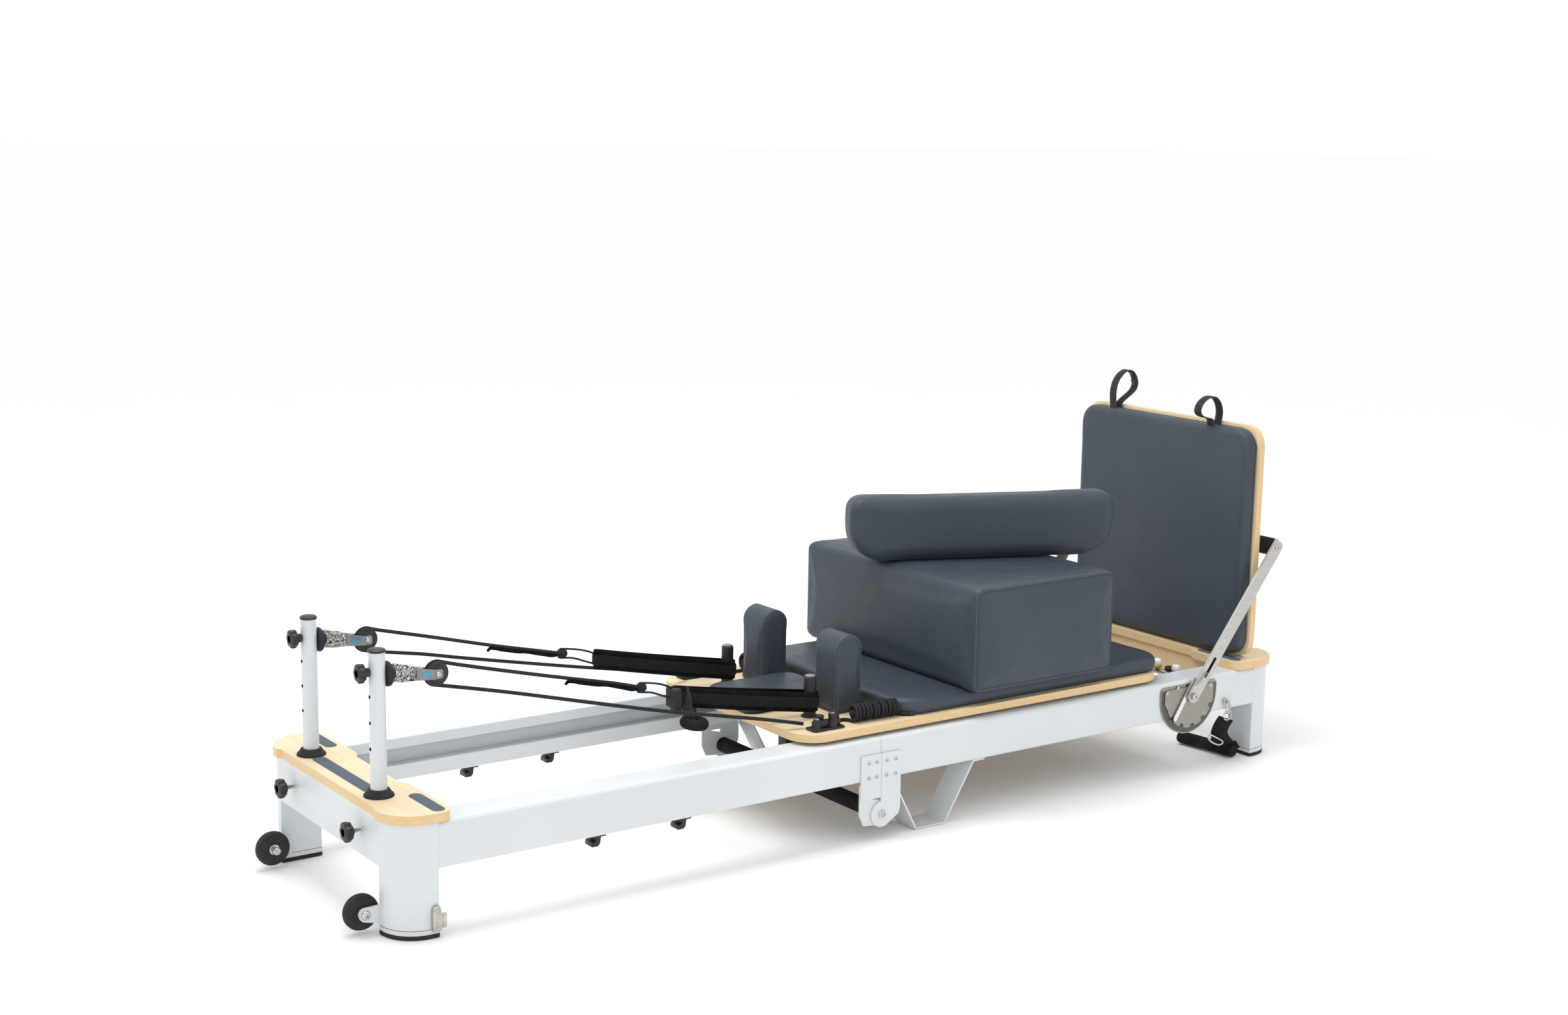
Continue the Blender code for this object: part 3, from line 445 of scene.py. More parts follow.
def slab(bm, outline, axis, low, high, ease=0.0, segments=2):
    """A plate with eased edges. outline is in the two axes that follow the axis in X, Y, Z order."""
    index = "XYZ".index(axis)

    def point(a, b, c):
        return {0: (c, a, b), 1: (a, c, b), 2: (a, b, c)}[index]

    bottom = [bm.verts.new(point(a, b, low)) for a, b in outline]
    top = [bm.verts.new(point(a, b, high)) for a, b in outline]
    faces = [bm.faces.new(bottom), bm.faces.new(top)]
    for i in range(len(outline)):
        j = (i + 1) % len(outline)
        faces.append(bm.faces.new((bottom[i], bottom[j], top[j], top[i])))
    bmesh.ops.recalc_face_normals(bm, faces=faces)
    if ease:
        rims = list(faces[0].edges) + list(faces[1].edges)
        bmesh.ops.bevel(bm, geom=rims, offset=ease, segments=segments, affect="EDGES", profile=0.5)


def corners(a0, a1, b0, b1, radius, steps=5):
    """The outline of a rounded rectangle."""
    found = []
    for (a, b), start in (((a1 - radius, b1 - radius), 0), ((a0 + radius, b1 - radius), 90),
                          ((a0 + radius, b0 + radius), 180), ((a1 - radius, b0 + radius), 270)):
        for k in range(steps + 1):
            t = math.radians(start + 90 * k / steps)
            found.append((a + radius * math.cos(t), b + radius * math.sin(t)))
    return found


def finish_node(name, finish, bevel, segments):
    """Gives a CAD node its finish and, where bevel isn't 0, eased edges."""
    obj = nodes[name]
    obj.data.materials.clear()
    obj.data.materials.append(finish)
    if bevel:
        edge = obj.modifiers.new("bevel", "BEVEL")
        edge.width, edge.segments, edge.harden_normals = bevel, segments, False
        edge.limit_method, edge.angle_limit = "ANGLE", math.radians(40)
    for slot in obj.material_slots:
        slot.material = finish


# Camera and light


def make_camera():
    data = bpy.data.cameras.new("camera")
    data.sensor_width = 36.0
    data.lens = 49.89
    made = bpy.data.objects.new("camera", data)
    bpy.context.scene.collection.objects.link(made)
    right = Vector((0.81653, -0.57707, 0.01639))
    up = Vector((0.08953, 0.15463, 0.98391))
    back = Vector((-0.57032, -0.80193, 0.17792))
    turn = Matrix((right, up, back)).transposed().to_4x4()
    made.matrix_world = Matrix.Translation((-2.9612, -4.0601, 1.6219)) @ turn
    bpy.context.scene.camera = made


def area_light(name, place, target, size, power):
    data = bpy.data.lights.new(name, "AREA")
    data.shape, data.size, data.energy = "DISK", size, power
    made = bpy.data.objects.new(name, data)
    bpy.context.scene.collection.objects.link(made)
    made.location = place
    made.rotation_euler = (Vector(target) - Vector(place)).to_track_quat("-Z", "Y").to_euler()


def make_studio():
    bm = bmesh.new()
    for x, y in ((-90, -90), (90, -90), (90, 90), (-90, 90)):
        bm.verts.new((x, y, -0.0012))
    bm.faces.new(list(bm.verts))
    floor = Finish("studio_floor", (0.96, 0.96, 0.96), 0.9, specular=0.05)
    floor.base(floor.tint(floor.noise(2, 2), (0.955, 0.955, 0.955), (0.97, 0.97, 0.97)))
    data = bpy.data.meshes.new("floor")
    bm.to_mesh(data)
    bm.free()
    data.materials.append(floor.material)
    made = bpy.data.objects.new("floor", data)
    bpy.context.scene.collection.objects.link(made)
    world = bpy.data.worlds.new("studio")
    bpy.context.scene.world = world
    world.use_nodes = True
    sky = world.node_tree.nodes["Background"]
    sky.inputs[0].default_value = (1.0, 1.0, 1.0, 1)
    sky.inputs[1].default_value = 1.02
    area_light("overhead", (-0.6, 0.3, 3.6), (0, 0, 0.3), 2.2, 68)
    bpy.context.scene.view_settings.view_transform = "Standard"


# Ropes

ROPE_SIZE, BRIDLE_SIZE = 0.0082, 0.0048
SHEAVE_X, SHEAVE_Z, RISER_Y, WRAP = -1.0535, 0.4955, 0.169, 0.0245


def bridle_apex(x, y, z, radius=0.0106):
    """The rounded end of a bridle, where the knot of the pulley rope holds it."""
    angles = [math.radians(85 + 190 * k / 8) for k in range(9)]
    return [(x + radius * math.cos(t), y, z + radius * math.sin(t)) for t in angles]


# For each side: the run from the knot to the pulley, the run from the pulley to the cleat, the bridle, and the
# X at which the doubled end starts and stops.
ROUTES = {
    "left": ([(-0.534, -0.118, 0.3803), (-0.607, -0.126, 0.402), (-0.722, -0.138, 0.431),
              (-0.83, -0.149, 0.459), (-0.955, -0.162, 0.4927)],
             [(-0.92, -0.172, 0.44), (-0.84, -0.175, 0.4205), (-0.64, -0.185, 0.3705), (-0.5, -0.196, 0.338),
              (-0.4, -0.206, 0.318), (-0.28, -0.222, 0.295), (-0.185, -0.244, 0.2755)],
             [(-0.448, -0.112, 0.364), (-0.468, -0.112, 0.3745), (-0.498, -0.1155, 0.384),
              *bridle_apex(-0.535, -0.118, 0.38),
              (-0.505, -0.116, 0.364), (-0.478, -0.113, 0.353), (-0.45, -0.112, 0.343)],
             (-0.725, -0.548)),
    "right": ([(-0.588, 0.138, 0.4095), (-0.66, 0.143, 0.4255), (-0.75, 0.149, 0.4455), (-0.83, 0.156, 0.465),
               (-0.914, 0.162, 0.4858)],
              [(-0.92, 0.172, 0.4445), (-0.83, 0.175, 0.424), (-0.66, 0.183, 0.387), (-0.5, 0.192, 0.353),
               (-0.38, 0.205, 0.328), (-0.28, 0.222, 0.305), (-0.185, 0.244, 0.2775)],
              [(-0.503, 0.134, 0.398), (-0.525, 0.134, 0.4075), (-0.554, 0.136, 0.415),
               *bridle_apex(-0.589, 0.138, 0.4095),
               (-0.558, 0.137, 0.3945), (-0.53, 0.1345, 0.384), (-0.505, 0.134, 0.375)],
              (-0.76, -0.602)),
}


def overhand_knot(place, along, size, radius):
    """A small tight knot: a rope bent into a trefoil about the line."""
    along = Vector(along).normalized()
    side = along.orthogonal().normalized()
    above = along.cross(side)
    points = []
    for k in range(49):
        t = TAU * k / 48
        a = math.sin(t) + 2 * math.sin(2 * t)
        b = math.cos(t) - 2 * math.cos(2 * t)
        c = -math.sin(3 * t)
        points.append(Vector(place) + size * (0.3 * a * along + 0.26 * b * above + 0.42 * c * side))
    bm = bmesh.new()
    tube(bm, points, radius, 8)
    return bm


def make_ropes():
    for name, side in SIDES:
        upper, lower, bridle, (sleeve_from, sleeve_to) = ROUTES[name]
        y = side * RISER_Y
        arc = [math.radians(73 + (257 - 73) * k / 12) for k in range(13)]
        wrap = [(SHEAVE_X + WRAP * math.cos(t), y, SHEAVE_Z + WRAP * math.sin(t)) for t in arc]
        line = smooth_path([*upper, (-1.022, y, 0.5116), *wrap, (-1.022, y, 0.4634), *lower], 2)
        rope = build(f"rope_line_{name}", ROPE, "head_half", (tube, line, ROPE_SIZE / 2), sharp=0,
                     stands_for=(f"rope_{name}",))
        loop = smooth_path(bridle, 3)
        legs = build(f"rope_bridle_{name}", ROPE, "head_half", (tube, loop, BRIDLE_SIZE / 2, 8), sharp=0)
        tied = overhand_knot(upper[0], Vector(upper[0]) - Vector(upper[1]), 0.0095, 0.0048)
        knot = piece(f"rope_knot_{name}", tied, ROPE, "head_half", sharp=0)

        def at(x):
            for a, b in zip(upper, upper[1:]):
                if b[0] <= x <= a[0]:
                    return Vector(a).lerp(Vector(b), (x - a[0]) / (b[0] - a[0]))
            return Vector(upper[0])

        steps = 14
        spine = [at(sleeve_to + (sleeve_from - sleeve_to) * k / steps)
                 - Vector((0, 0, 0.0058 + 0.001 * math.sin(k * 0.8))) for k in range(steps + 1)]
        widths = [0.004] + [0.0054 + 0.0004 * math.sin(k * 1.7) for k in range(1, steps)] + [0.0057]
        tail = spine[-1]
        end = [tail, tail + Vector((-0.006, 0, -0.003)), tail + Vector((-0.01, 0.002, -0.008))]
        sleeve = build(f"rope_doubled_end_{name}", FLEECE, "head_half", (tube, spine, widths),
                       (tube, end, [0.0046, 0.004, 0.003], 8), slot="black_rope", sharp=60)

        for part in (rope, legs, knot, sleeve):
            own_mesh(part)


BUNDLE_TURNS, BUNDLE_RADIUS, BUNDLE_PITCH = 12, 0.0168, 0.0104
BUNDLE_CORE, BUNDLE_BEND = 0.0124, 0.0175
BUNDLE_START = {"left": -0.062, "right": -0.004}


def make_spare_ropes():
    """The slack of each rope, wound on its own doubled core beside the cleat."""
    whipping = [(0, -0.004), (0.0042, -0.0038), (0.0048, 0), (0.0046, 0.004), (0.0034, 0.007), (0, 0.0075)]
    quarter = [math.radians(15 * k) for k in range(1, 7)]
    sizes = [BUNDLE_CORE * v for v in (0.3, 0.8, *([1.0] * 9), 0.8, 0.3)]
    for name, side in SIDES:
        start = Vector((BUNDLE_START[name], side * 0.262, 0.2648 + BUNDLE_RADIUS + ROPE_SIZE / 2))
        axis = Vector((1, side * 0.04, 0)).normalized()
        level = Vector((-axis.y, axis.x, 0)) * side
        up = Vector(UP)
        foot = start - up * BUNDLE_RADIUS
        inside = foot - (level + axis) * BUNDLE_BEND
        lead = Vector((-0.09, side * 0.2465, foot.z))
        path = [Vector((-0.1, side * 0.25, foot.z)), lead.lerp(inside, 0.1), lead.lerp(inside, 0.6)]
        path += [foot - level * (BUNDLE_BEND * math.sin(t)) - axis * (BUNDLE_BEND * (1 - math.cos(t)))
                 for t in reversed(quarter)]
        for k in range(BUNDLE_TURNS * 16 + 1):
            t = TAU * k / 16
            radius = BUNDLE_RADIUS + 0.0004 * math.sin(t / 3.1)
            wander = 0.0012 * math.sin(t / 2.3)
            path.append(start + axis * (BUNDLE_PITCH * k / 16 + wander) + level * (radius * math.sin(t))
                        - up * radius * math.cos(t))
        last = path[-1]
        path += [last + level * (BUNDLE_BEND * math.sin(t)) + axis * (BUNDLE_BEND * (1 - math.cos(t)))
                 for t in quarter[:5]]
        path.append(path[-1] + (path[-1] - path[-2]).normalized() * 0.014)
        bundle = build(f"spare_rope_{name}", ROPE, "carriage", (tube, path, ROPE_SIZE / 2, 8), sharp=0)
        core = [start + axis * (-0.004 + (BUNDLE_TURNS * BUNDLE_PITCH + 0.008) * k / 12) for k in range(13)]
        heart = build(f"spare_rope_core_{name}", ROPE, "carriage", (tube, core, sizes, 12), sharp=0)
        whip = build(f"spare_rope_whipping_{name}", PLASTIC, "carriage",
                     (turned, whipping, path[-1], path[-1] - path[-2], 12))


def make_cleats():
    """A cam cleat on each side: two ridged cheeks and a domed post on a low base, in front of the rope bundle."""
    z = 0.2688
    for name, side in SIDES:
        y = side * 0.27
        posts = []
        for x, dy, r, h in ((-0.172, 0.009, 0.0095, 0.0225), (-0.15, -0.01, 0.01, 0.025),
                            (-0.128, 0.008, 0.011, 0.031), (-0.108, -0.007, 0.0095, 0.026)):
            post = [(0, z), (r, z), (r, z + h * 0.2), (r * 0.86, z + h * 0.3), (r * 0.86, z + h * 0.8),
                    (r * 0.95, z + h * 0.86), (r * 0.9, z + h), (r * 0.5, z + h * 1.06), (0, z + h * 1.07)]
            posts.append((turned, post, (x, y + side * dy, 0), UP, 18))
        build(f"rope_cleat_{name}", PLASTIC, "carriage",
              (slab, corners(-0.186, -0.098, y - 0.02, y + 0.02, 0.008), "Z", 0.2647, 0.269, 0.0012), *posts,
              (slab, corners(-0.176, -0.104, y - 0.008, y + 0.008, 0.004), "Z", z, 0.285, 0.002))
        caps = [(turned, [(0, 0.2695 + h), (0.0052, 0.2693 + h), (0.0046, 0.2708 + h), (0, 0.2714 + h)],
                 (x, y + side * dy, 0), UP, 16) for x, dy, h in ((-0.128, 0.008, 0.0322), (-0.172, 0.009, 0.0232))]
        build(f"rope_cleat_cap_{name}", STEEL, "carriage", *caps)


# Strap loops and the hanging hand grip

STRAP_ENDS = {"left": Vector((-0.437, -0.11, 0.345)), "right": Vector((-0.497, 0.133, 0.385))}
PEG_X, PEG_Y = -0.113, 0.17
STRAP_WIDE, STRAP_NARROW, STRAP_WOBBLE = 0.019, 0.0098, 0.0016


def strap_outline(length, wide, narrow, wobble):
    """A closed band seen from above: round the peg at the near end, narrow at the rope end."""
    found = []
    for k in range(9):
        t = math.radians(90 + 180 * k / 8)
        found.append((wide * math.cos(t), wide * math.sin(t)))
    for k in range(1, 12):
        t = k / 12
        found.append((length * t, -(wide + (narrow - wide) * t) - wobble * math.sin(math.pi * t * 2.0)))
    for k in range(7):
        t = math.radians(-90 + 180 * k / 6)
        found.append((length + narrow * math.cos(t), narrow * math.sin(t)))
    for k in range(1, 12):
        t = 1 - k / 12
        found.append((length * t, (wide + (narrow - wide) * t) + 0.6 * wobble * math.sin(math.pi * t)))
    return found


def make_straps():
    for name, side in SIDES:
        start = Vector((PEG_X, side * PEG_Y, 0.3015))
        run = STRAP_ENDS[name] - start
        length = math.hypot(run.x, run.y)
        along = Vector((run.x, run.y, 0)) / length
        out = Vector((-along.y, along.x, 0))

        def spot(a, b, level):
            sag = -0.0015 * math.sin(math.pi * min(max(a / length, 0), 1))
            rise = run.z * min(max(a, 0), length) / length + level + sag
            return start + along * a + out * b + Vector((0, 0, rise))

        outline = strap_outline(length, STRAP_WIDE, STRAP_NARROW, STRAP_WOBBLE)
        count = len(outline)
        for part, finish, height, thick, offset in (("pad", FLEECE, 0.046, 0.0042, 0.0),
                                                    ("tape", WEBBING, 0.025, 0.0016, 0.003)):
            loops, uvs, path_run = [], [], 0.0
            half, deep = height / 2, thick / 2
            cross = [(-half + 0.0012, -deep), (-half, 0.0), (-half + 0.0012, deep), (-half / 2, deep * 1.15),
                     (0, deep * 1.2), (half / 2, deep * 1.15), (half - 0.0012, deep), (half, 0.0),
                     (half - 0.0012, -deep), (0, -deep)]
            spread = [c[0] + half for c in cross] + [cross[0][0] + half]
            for i, (a, b) in enumerate(outline):
                before, after = outline[i - 1], outline[(i + 1) % count]
                ahead = Vector((after[0] - before[0], after[1] - before[1])).normalized()
                normal = Vector((ahead.y, -ahead.x))
                path_run += math.hypot(a - before[0], b - before[1]) if i else 0
                lifts = [depth - deep + offset for _, depth in cross]
                loops.append([spot(a + normal.x * lift, b + normal.y * lift, level)
                              for (level, _), lift in zip(cross, lifts)])
                uvs.append((path_run, spread))
            strap = build(f"strap_{part}_{name}", finish, "carriage", (rings, loops, False, True, uvs),
                          slot="black_webbing", sharp=60, stands_for=(f"strap_loop_{name}",) if part == "pad" else ())
            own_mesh(strap)
        stitch_rows = []
        for level in (-0.0195, 0.0195):
            for a in [0.02 + 0.0062 * k for k in range(int((length - 0.03) / 0.0062))]:
                edge = STRAP_WIDE + (STRAP_NARROW - STRAP_WIDE) * a / length + 0.0012
                b = -edge - STRAP_WOBBLE * math.sin(TAU * a / length)
                stitch = [spot(a, b - 0.0004, level), spot(a + 0.0018, b - 0.0009, level),
                          spot(a + 0.0036, b - 0.0004, level)]
                stitch_rows.append((tube, stitch, 0.0004, 5))
        stitching = build(f"strap_stitching_{name}", PLASTIC, "carriage", *stitch_rows, slot="black_webbing")
        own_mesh(stitching)


def make_hanging_grip():
    """A foam ring that hangs on a short webbing tab from the end of the near strap."""
    centre = Vector((-0.404, -0.133, 0.2835))
    arc = [math.radians(-80 + 240 * k / 16) for k in range(17)]
    profile = [(0, -0.0105), (0.012, -0.0118), *((0.0205 + 0.0125 * math.cos(t), 0.0125 * math.sin(t)) for t in arc),
               (0.006, 0.0015), (0, 0.001)]
    grip = build("hand_grip_foam", FOAM, "carriage", (turned, profile, centre, (0.1, -0.06, 1), 36), sharp=40)
    line = [centre + Vector(step) for step in ((-0.006, 0.002, 0), (-0.012, 0.004, 0.018), (-0.015, 0.006, 0.036),
                                               (-0.017, 0.007, 0.058))]
    line.append(Vector((-0.424, -0.118, 0.364)))
    web = build("hand_grip_webbing", GREY_WEBBING, "carriage",
                (tape, smooth_path(line, 4), 0.023, 0.003, (0.8, -0.6, 0)), sharp=60)
    block = build("hand_grip_keeper", RUBBER, "carriage",
                  (slab, corners(-0.456, -0.433, 0.32, 0.366, 0.006), "Y", -0.13, -0.093, 0.0045),
                  (slab, corners(-0.452, -0.43, 0.308, 0.33, 0.006), "Y", -0.126, -0.105, 0.0045),
                  slot="black_plastic")
    for part in (grip, web, block):
        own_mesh(part)


make_camera()
make_ropes()
make_spare_ropes()
make_cleats()
make_straps()
make_hanging_grip()


# Upholstery

BELOW = (2, "low")
FLAT_BAND = 0.0028
SHOULDER_ROUND = 0.038
BOLSTER_TURN = -21.5


def moved(start, now, cap):
    """Where a point ends up when its motion is eased towards a cap."""
    step = now - start
    length = step.length
    return start if length < 1e-9 else start + step * (cap * math.tanh(length / cap) / length)


def stuffed(name, node, body, voxel, cap, inset, rest, fill, clamp=0.001, turn=0.0):
    """A padded cover blown up from its CAD solid: remeshed, swelled with Cloth pressure, and one side kept flat.

    cap eases how far a point may move, and clamp how far it may stand past the solid's box. rest is
    (axis, "low" or "high"): the side on which the pad lies. turn is the plan angle of a pad that stands askew.
    """
    data = nodes[node].data.copy()
    data.name = name
    obj = bpy.data.objects.new(name, data)
    bpy.context.scene.collection.objects.link(obj)
    spin = Matrix.Rotation(math.radians(turn), 3, "Z")
    back = spin.transposed()
    places = [back @ v.co for v in data.vertices]
    low = Vector([min(p[i] for p in places) for i in range(3)])
    high = Vector([max(p[i] for p in places) for i in range(3)])
    middle, size = (low + high) / 2, high - low
    for v, p in zip(data.vertices, places):
        v.co = spin @ Vector([middle[i] + (p[i] - middle[i]) * (1 - 2 * inset / size[i]) for i in range(3)])
    remesh = obj.modifiers.new("remesh", "REMESH")
    remesh.mode = "VOXEL"
    remesh.voxel_size = voxel
    soften = obj.modifiers.new("soften", "SMOOTH")
    soften.factor, soften.iterations = 0.5, 3
    graph = bpy.context.evaluated_depsgraph_get()
    data = bpy.data.meshes.new_from_object(obj.evaluated_get(graph))
    obj.modifiers.clear()
    obj.data = data
    before = [v.co.copy() for v in data.vertices]
    after = before
    cloth = obj.modifiers.new("cloth", "CLOTH")
    made = cloth.settings
    made.quality, made.mass = 3, 0.3
    made.tension_stiffness = made.compression_stiffness = 15
    made.shear_stiffness, made.bending_stiffness = 8, 0.6
    made.use_pressure, made.uniform_pressure_force = True, 4.0
    made.effector_weights.gravity = 0.0
    cloth.collision_settings.use_collision = False
    cloth.point_cache.frame_start, cloth.point_cache.frame_end = 1, 20
    scene = bpy.context.scene
    for number in range(1, 21):
        scene.frame_set(number)
    graph = bpy.context.evaluated_depsgraph_get()
    shaped = obj.evaluated_get(graph).to_mesh()
    after = [v.co.copy() for v in shaped.vertices]
    obj.evaluated_get(graph).to_mesh_clear()
    obj.modifiers.clear()
    scene.frame_set(1)
    for v, start, now in zip(data.vertices, before, after):
        p = back @ moved(start, now, cap)
        q = back @ start
        axis, which = rest
        is_low = which == "low"
        edge = low[axis] if is_low else high[axis]
        if abs(q[axis] - edge) < inset + FLAT_BAND:
            p[axis] = edge + (0.0001 if is_low else -0.0001)
        else:
            p[axis] = max(p[axis], edge) if is_low else min(p[axis], edge)
        for i in range(3):
            give = clamp if i < 2 else 0
            p[i] = min(max(p[i], low[i] - give), high[i] + give)
        v.co = spin @ p
    smooth_mesh(data, 2)
    data.materials.clear()
    data.materials.append(LEATHER)
    data.shade_smooth()
    divide = obj.modifiers.new("subdivision", "SUBSURF")
    divide.levels = divide.render_levels = 1
    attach(obj, body)
    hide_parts(node)
    return obj


def smooth_mesh(data, times):
    bm = bmesh.new()
    bm.from_mesh(data)
    for _ in range(times):
        bmesh.ops.smooth_vert(bm, verts=bm.verts, factor=0.3, use_axis_x=True, use_axis_y=True,
                              use_axis_z=True)
    bm.to_mesh(data)
    bm.free()


def surface_of(obj):
    return BVHTree.FromObject(obj, bpy.context.evaluated_depsgraph_get())


def laid(tree, points, lift):
    """Points dropped onto a surface and lifted off it a little, with the surface's normals."""
    found = []
    for p in points:
        near, normal, _, _ = tree.find_nearest(Vector(p))
        found.append((near + normal * lift, normal))
    return found


def every(points, step, closed=False):
    """The same line with its points an even step apart."""
    points = [Vector(p) for p in points]
    if closed:
        points.append(points[0])
    runs = [0.0]
    for a, b in zip(points, points[1:]):
        runs.append(runs[-1] + (b - a).length)
    count = max(2, round(runs[-1] / step))
    found, k = [], 0
    for i in range(count + (0 if closed else 1)):
        want = runs[-1] * i / count
        while k < len(points) - 2 and runs[k + 1] < want:
            k += 1
        share = (want - runs[k]) / max(runs[k + 1] - runs[k], 1e-9)
        found.append(points[k].lerp(points[k + 1], min(max(share, 0), 1)))
    return found


def welt(name, obj, body, line, radius, closed=True, lift=0.0):
    """A thin raised seam that follows the cover."""
    tree = surface_of(obj)
    points = [p for p, _ in laid(tree, every(line, 0.007, closed), lift)]
    bm = bmesh.new()
    if closed:
        loops = []
        count = len(points)
        for i, p in enumerate(points):
            ahead = (points[(i + 1) % count] - points[i - 1]).normalized()
            out = tree.find_nearest(p)[1]
            out = (out - ahead * out.dot(ahead)).normalized()
            side = ahead.cross(out)
            turns = [TAU * k / 8 for k in range(8)]
            loops.append([p + radius * (math.cos(t) * side + math.sin(t) * out) for t in turns])
        rings(bm, loops, False, True)
    else:
        tube(bm, points, radius, 8)
    return piece(name, bm, LEATHER, body, sharp=0)


def stitches(name, obj, body, lines, pitch=0.0056, length=0.0036, radius=0.00055, closed=False):
    """Rows of short thread stitches sunk half into the cover."""
    tree = surface_of(obj)
    bm = bmesh.new()
    for line in lines:
        points = every(line, pitch, closed)
        for i, p in enumerate(points[:-1]):
            ahead = (points[i + 1] - p).normalized()
            near, out, _, _ = tree.find_nearest(p)
            half = ahead * length / 2
            thread = [near - half - out * 0.0002, near + out * 0.0005, near + half - out * 0.0002]
            tube(bm, thread, radius, 5, out)
    return piece(name, bm, THREAD, body, sharp=0)


def rounded_loop(a0, a1, b0, b1, radius, to_point):
    return [to_point(a, b) for a, b in corners(a0, a1, b0, b1, radius, 8)]


def make_flat_pad(node, body, padding, seam, radius, level, width):
    """A pad that lies flat on a board, with a seam round its lower edge. padding is what stuffed takes."""
    pad = stuffed(f"{node}_cover", node, body, *padding)
    low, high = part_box(node)
    line = rounded_loop(low[0] + 0.001, high[0] - 0.001, low[1] + 0.001, high[1] - 0.001, radius,
                        lambda a, b: Vector((a, b, level)))
    welt(seam, pad, body, line, width)


def make_deck_pad():
    make_flat_pad("deck_pad", "carriage", (0.0065, 0.004, 0.0016, BELOW, 0.85), "deck_pad_lower_seam",
                  0.068, 0.2668, 0.0012)


def make_headrest():
    make_flat_pad("headrest", "headrest_pad", (0.005, 0.005, 0.002, BELOW, 0.8), "headrest_lower_seam",
                  0.04, 0.267, 0.0011)


def shoulder_arch(middle, y, low, top, inset, foot):
    """Up one side of a shoulder rest, round its top and down the other, drawn in by inset."""
    r = SHOULDER_ROUND - inset
    line = [(middle - r, y, low + foot)]
    line += [(middle - r * math.cos(math.pi * k / 16), y, top - SHOULDER_ROUND + r * math.sin(math.pi * k / 16))
             for k in range(17)]
    return [*line, (middle + r, y, low + foot)]


def make_shoulder_rests():
    for name, _ in SIDES:
        body = f"shoulder_rest_{name}"
        pad = stuffed(f"shoulder_cover_{name}", body, body, 0.004, 0.0024, 0.001, BELOW, 0.9)
        low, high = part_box(body)
        middle, bottom, top = (low[0] + high[0]) / 2, low[2], high[2]
        rows = []
        for y, away, mark in ((low[1], 1, "near"), (high[1], -1, "far")):
            welt(f"shoulder_seam_{mark}_{name}", pad, body, shoulder_arch(middle, y, bottom, top, 0, 0.004), 0.0015,
                 False)
            rows += [shoulder_arch(middle, y, bottom, top, 0.0055, 0.006),
                     shoulder_arch(middle, y + away * 0.0055, bottom, top, 0, 0.006)]
        stitches(f"shoulder_stitching_{name}", pad, body, rows)


def make_sitting_box():
    pad = stuffed("sitting_box_cover", "sitting_box", "box", 0.006, 0.003, 0.001, BELOW, 0.9, clamp=0.002)
    low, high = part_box("sitting_box")
    rows = []
    for y, away, mark in ((low[1], 1, "left"), (high[1], -1, "right")):
        line = rounded_loop(low[0] + 0.004, high[0] - 0.004, low[2] + 0.004, high[2] - 0.004, 0.02,
                            lambda a, b, y=y: Vector((a, y, b)))
        welt(f"sitting_box_piping_{mark}", pad, "box", line, 0.0019, lift=0.0002)
        edge = rounded_loop(low[0], high[0], low[2] + 0.001, high[2], 0.016, lambda a, b, y=y: Vector((a, y, b)))
        rows.append([p + Vector((0, away * 0.0085, 0)) for p in edge])
    stitches("sitting_box_stitching", pad, "box", rows, closed=True)
    grab = [(low[0] + dx, high[1] + dy, z) for dx, dy, z in (
        (0.018, -0.001, 0.4215), (0.032, 0.004, 0.4215), (0.08, 0.0072, 0.421), (0.128, 0.004, 0.4215),
        (0.142, -0.001, 0.4215))]
    build("sitting_box_handle", WEBBING, "box", (tape, smooth_path(grab, 4), 0.026, 0.002, UP), sharp=60)


def make_bolster():
    pad = stuffed("bolster_cover", "box_bolster", "bolster", 0.0055, 0.0034, 0.001, BELOW, 0.85, clamp=0.003,
                  turn=BOLSTER_TURN)
    foot = Vector((0.2094, 0.0142, 0.5563))
    turn = math.radians(BOLSTER_TURN)
    along = Vector((math.cos(turn), math.sin(turn), 0))
    across = Vector((-along.y, along.x, 0))
    outline = []
    for u, v, r, start in ((0.622, 0.0, 0.08, -90), (0.622, 0.161, 0.034, 0), (-0.063, 0.161, 0.034, 90),
                           (-0.063, 0.0, 0.08, 180)):
        cu = u - r if u > 0 else u + r
        cv = v - r if v > 0 else v + r
        for k in range(9):
            t = math.radians(start + 90 * k / 8)
            outline.append((cu + r * math.cos(t), cv + r * math.sin(t)))
    line = [foot + along * u + across * 0.0775 + Vector((0, 0, v)) for u, v in outline]
    welt("bolster_seam_back", pad, "bolster", line, 0.0013)


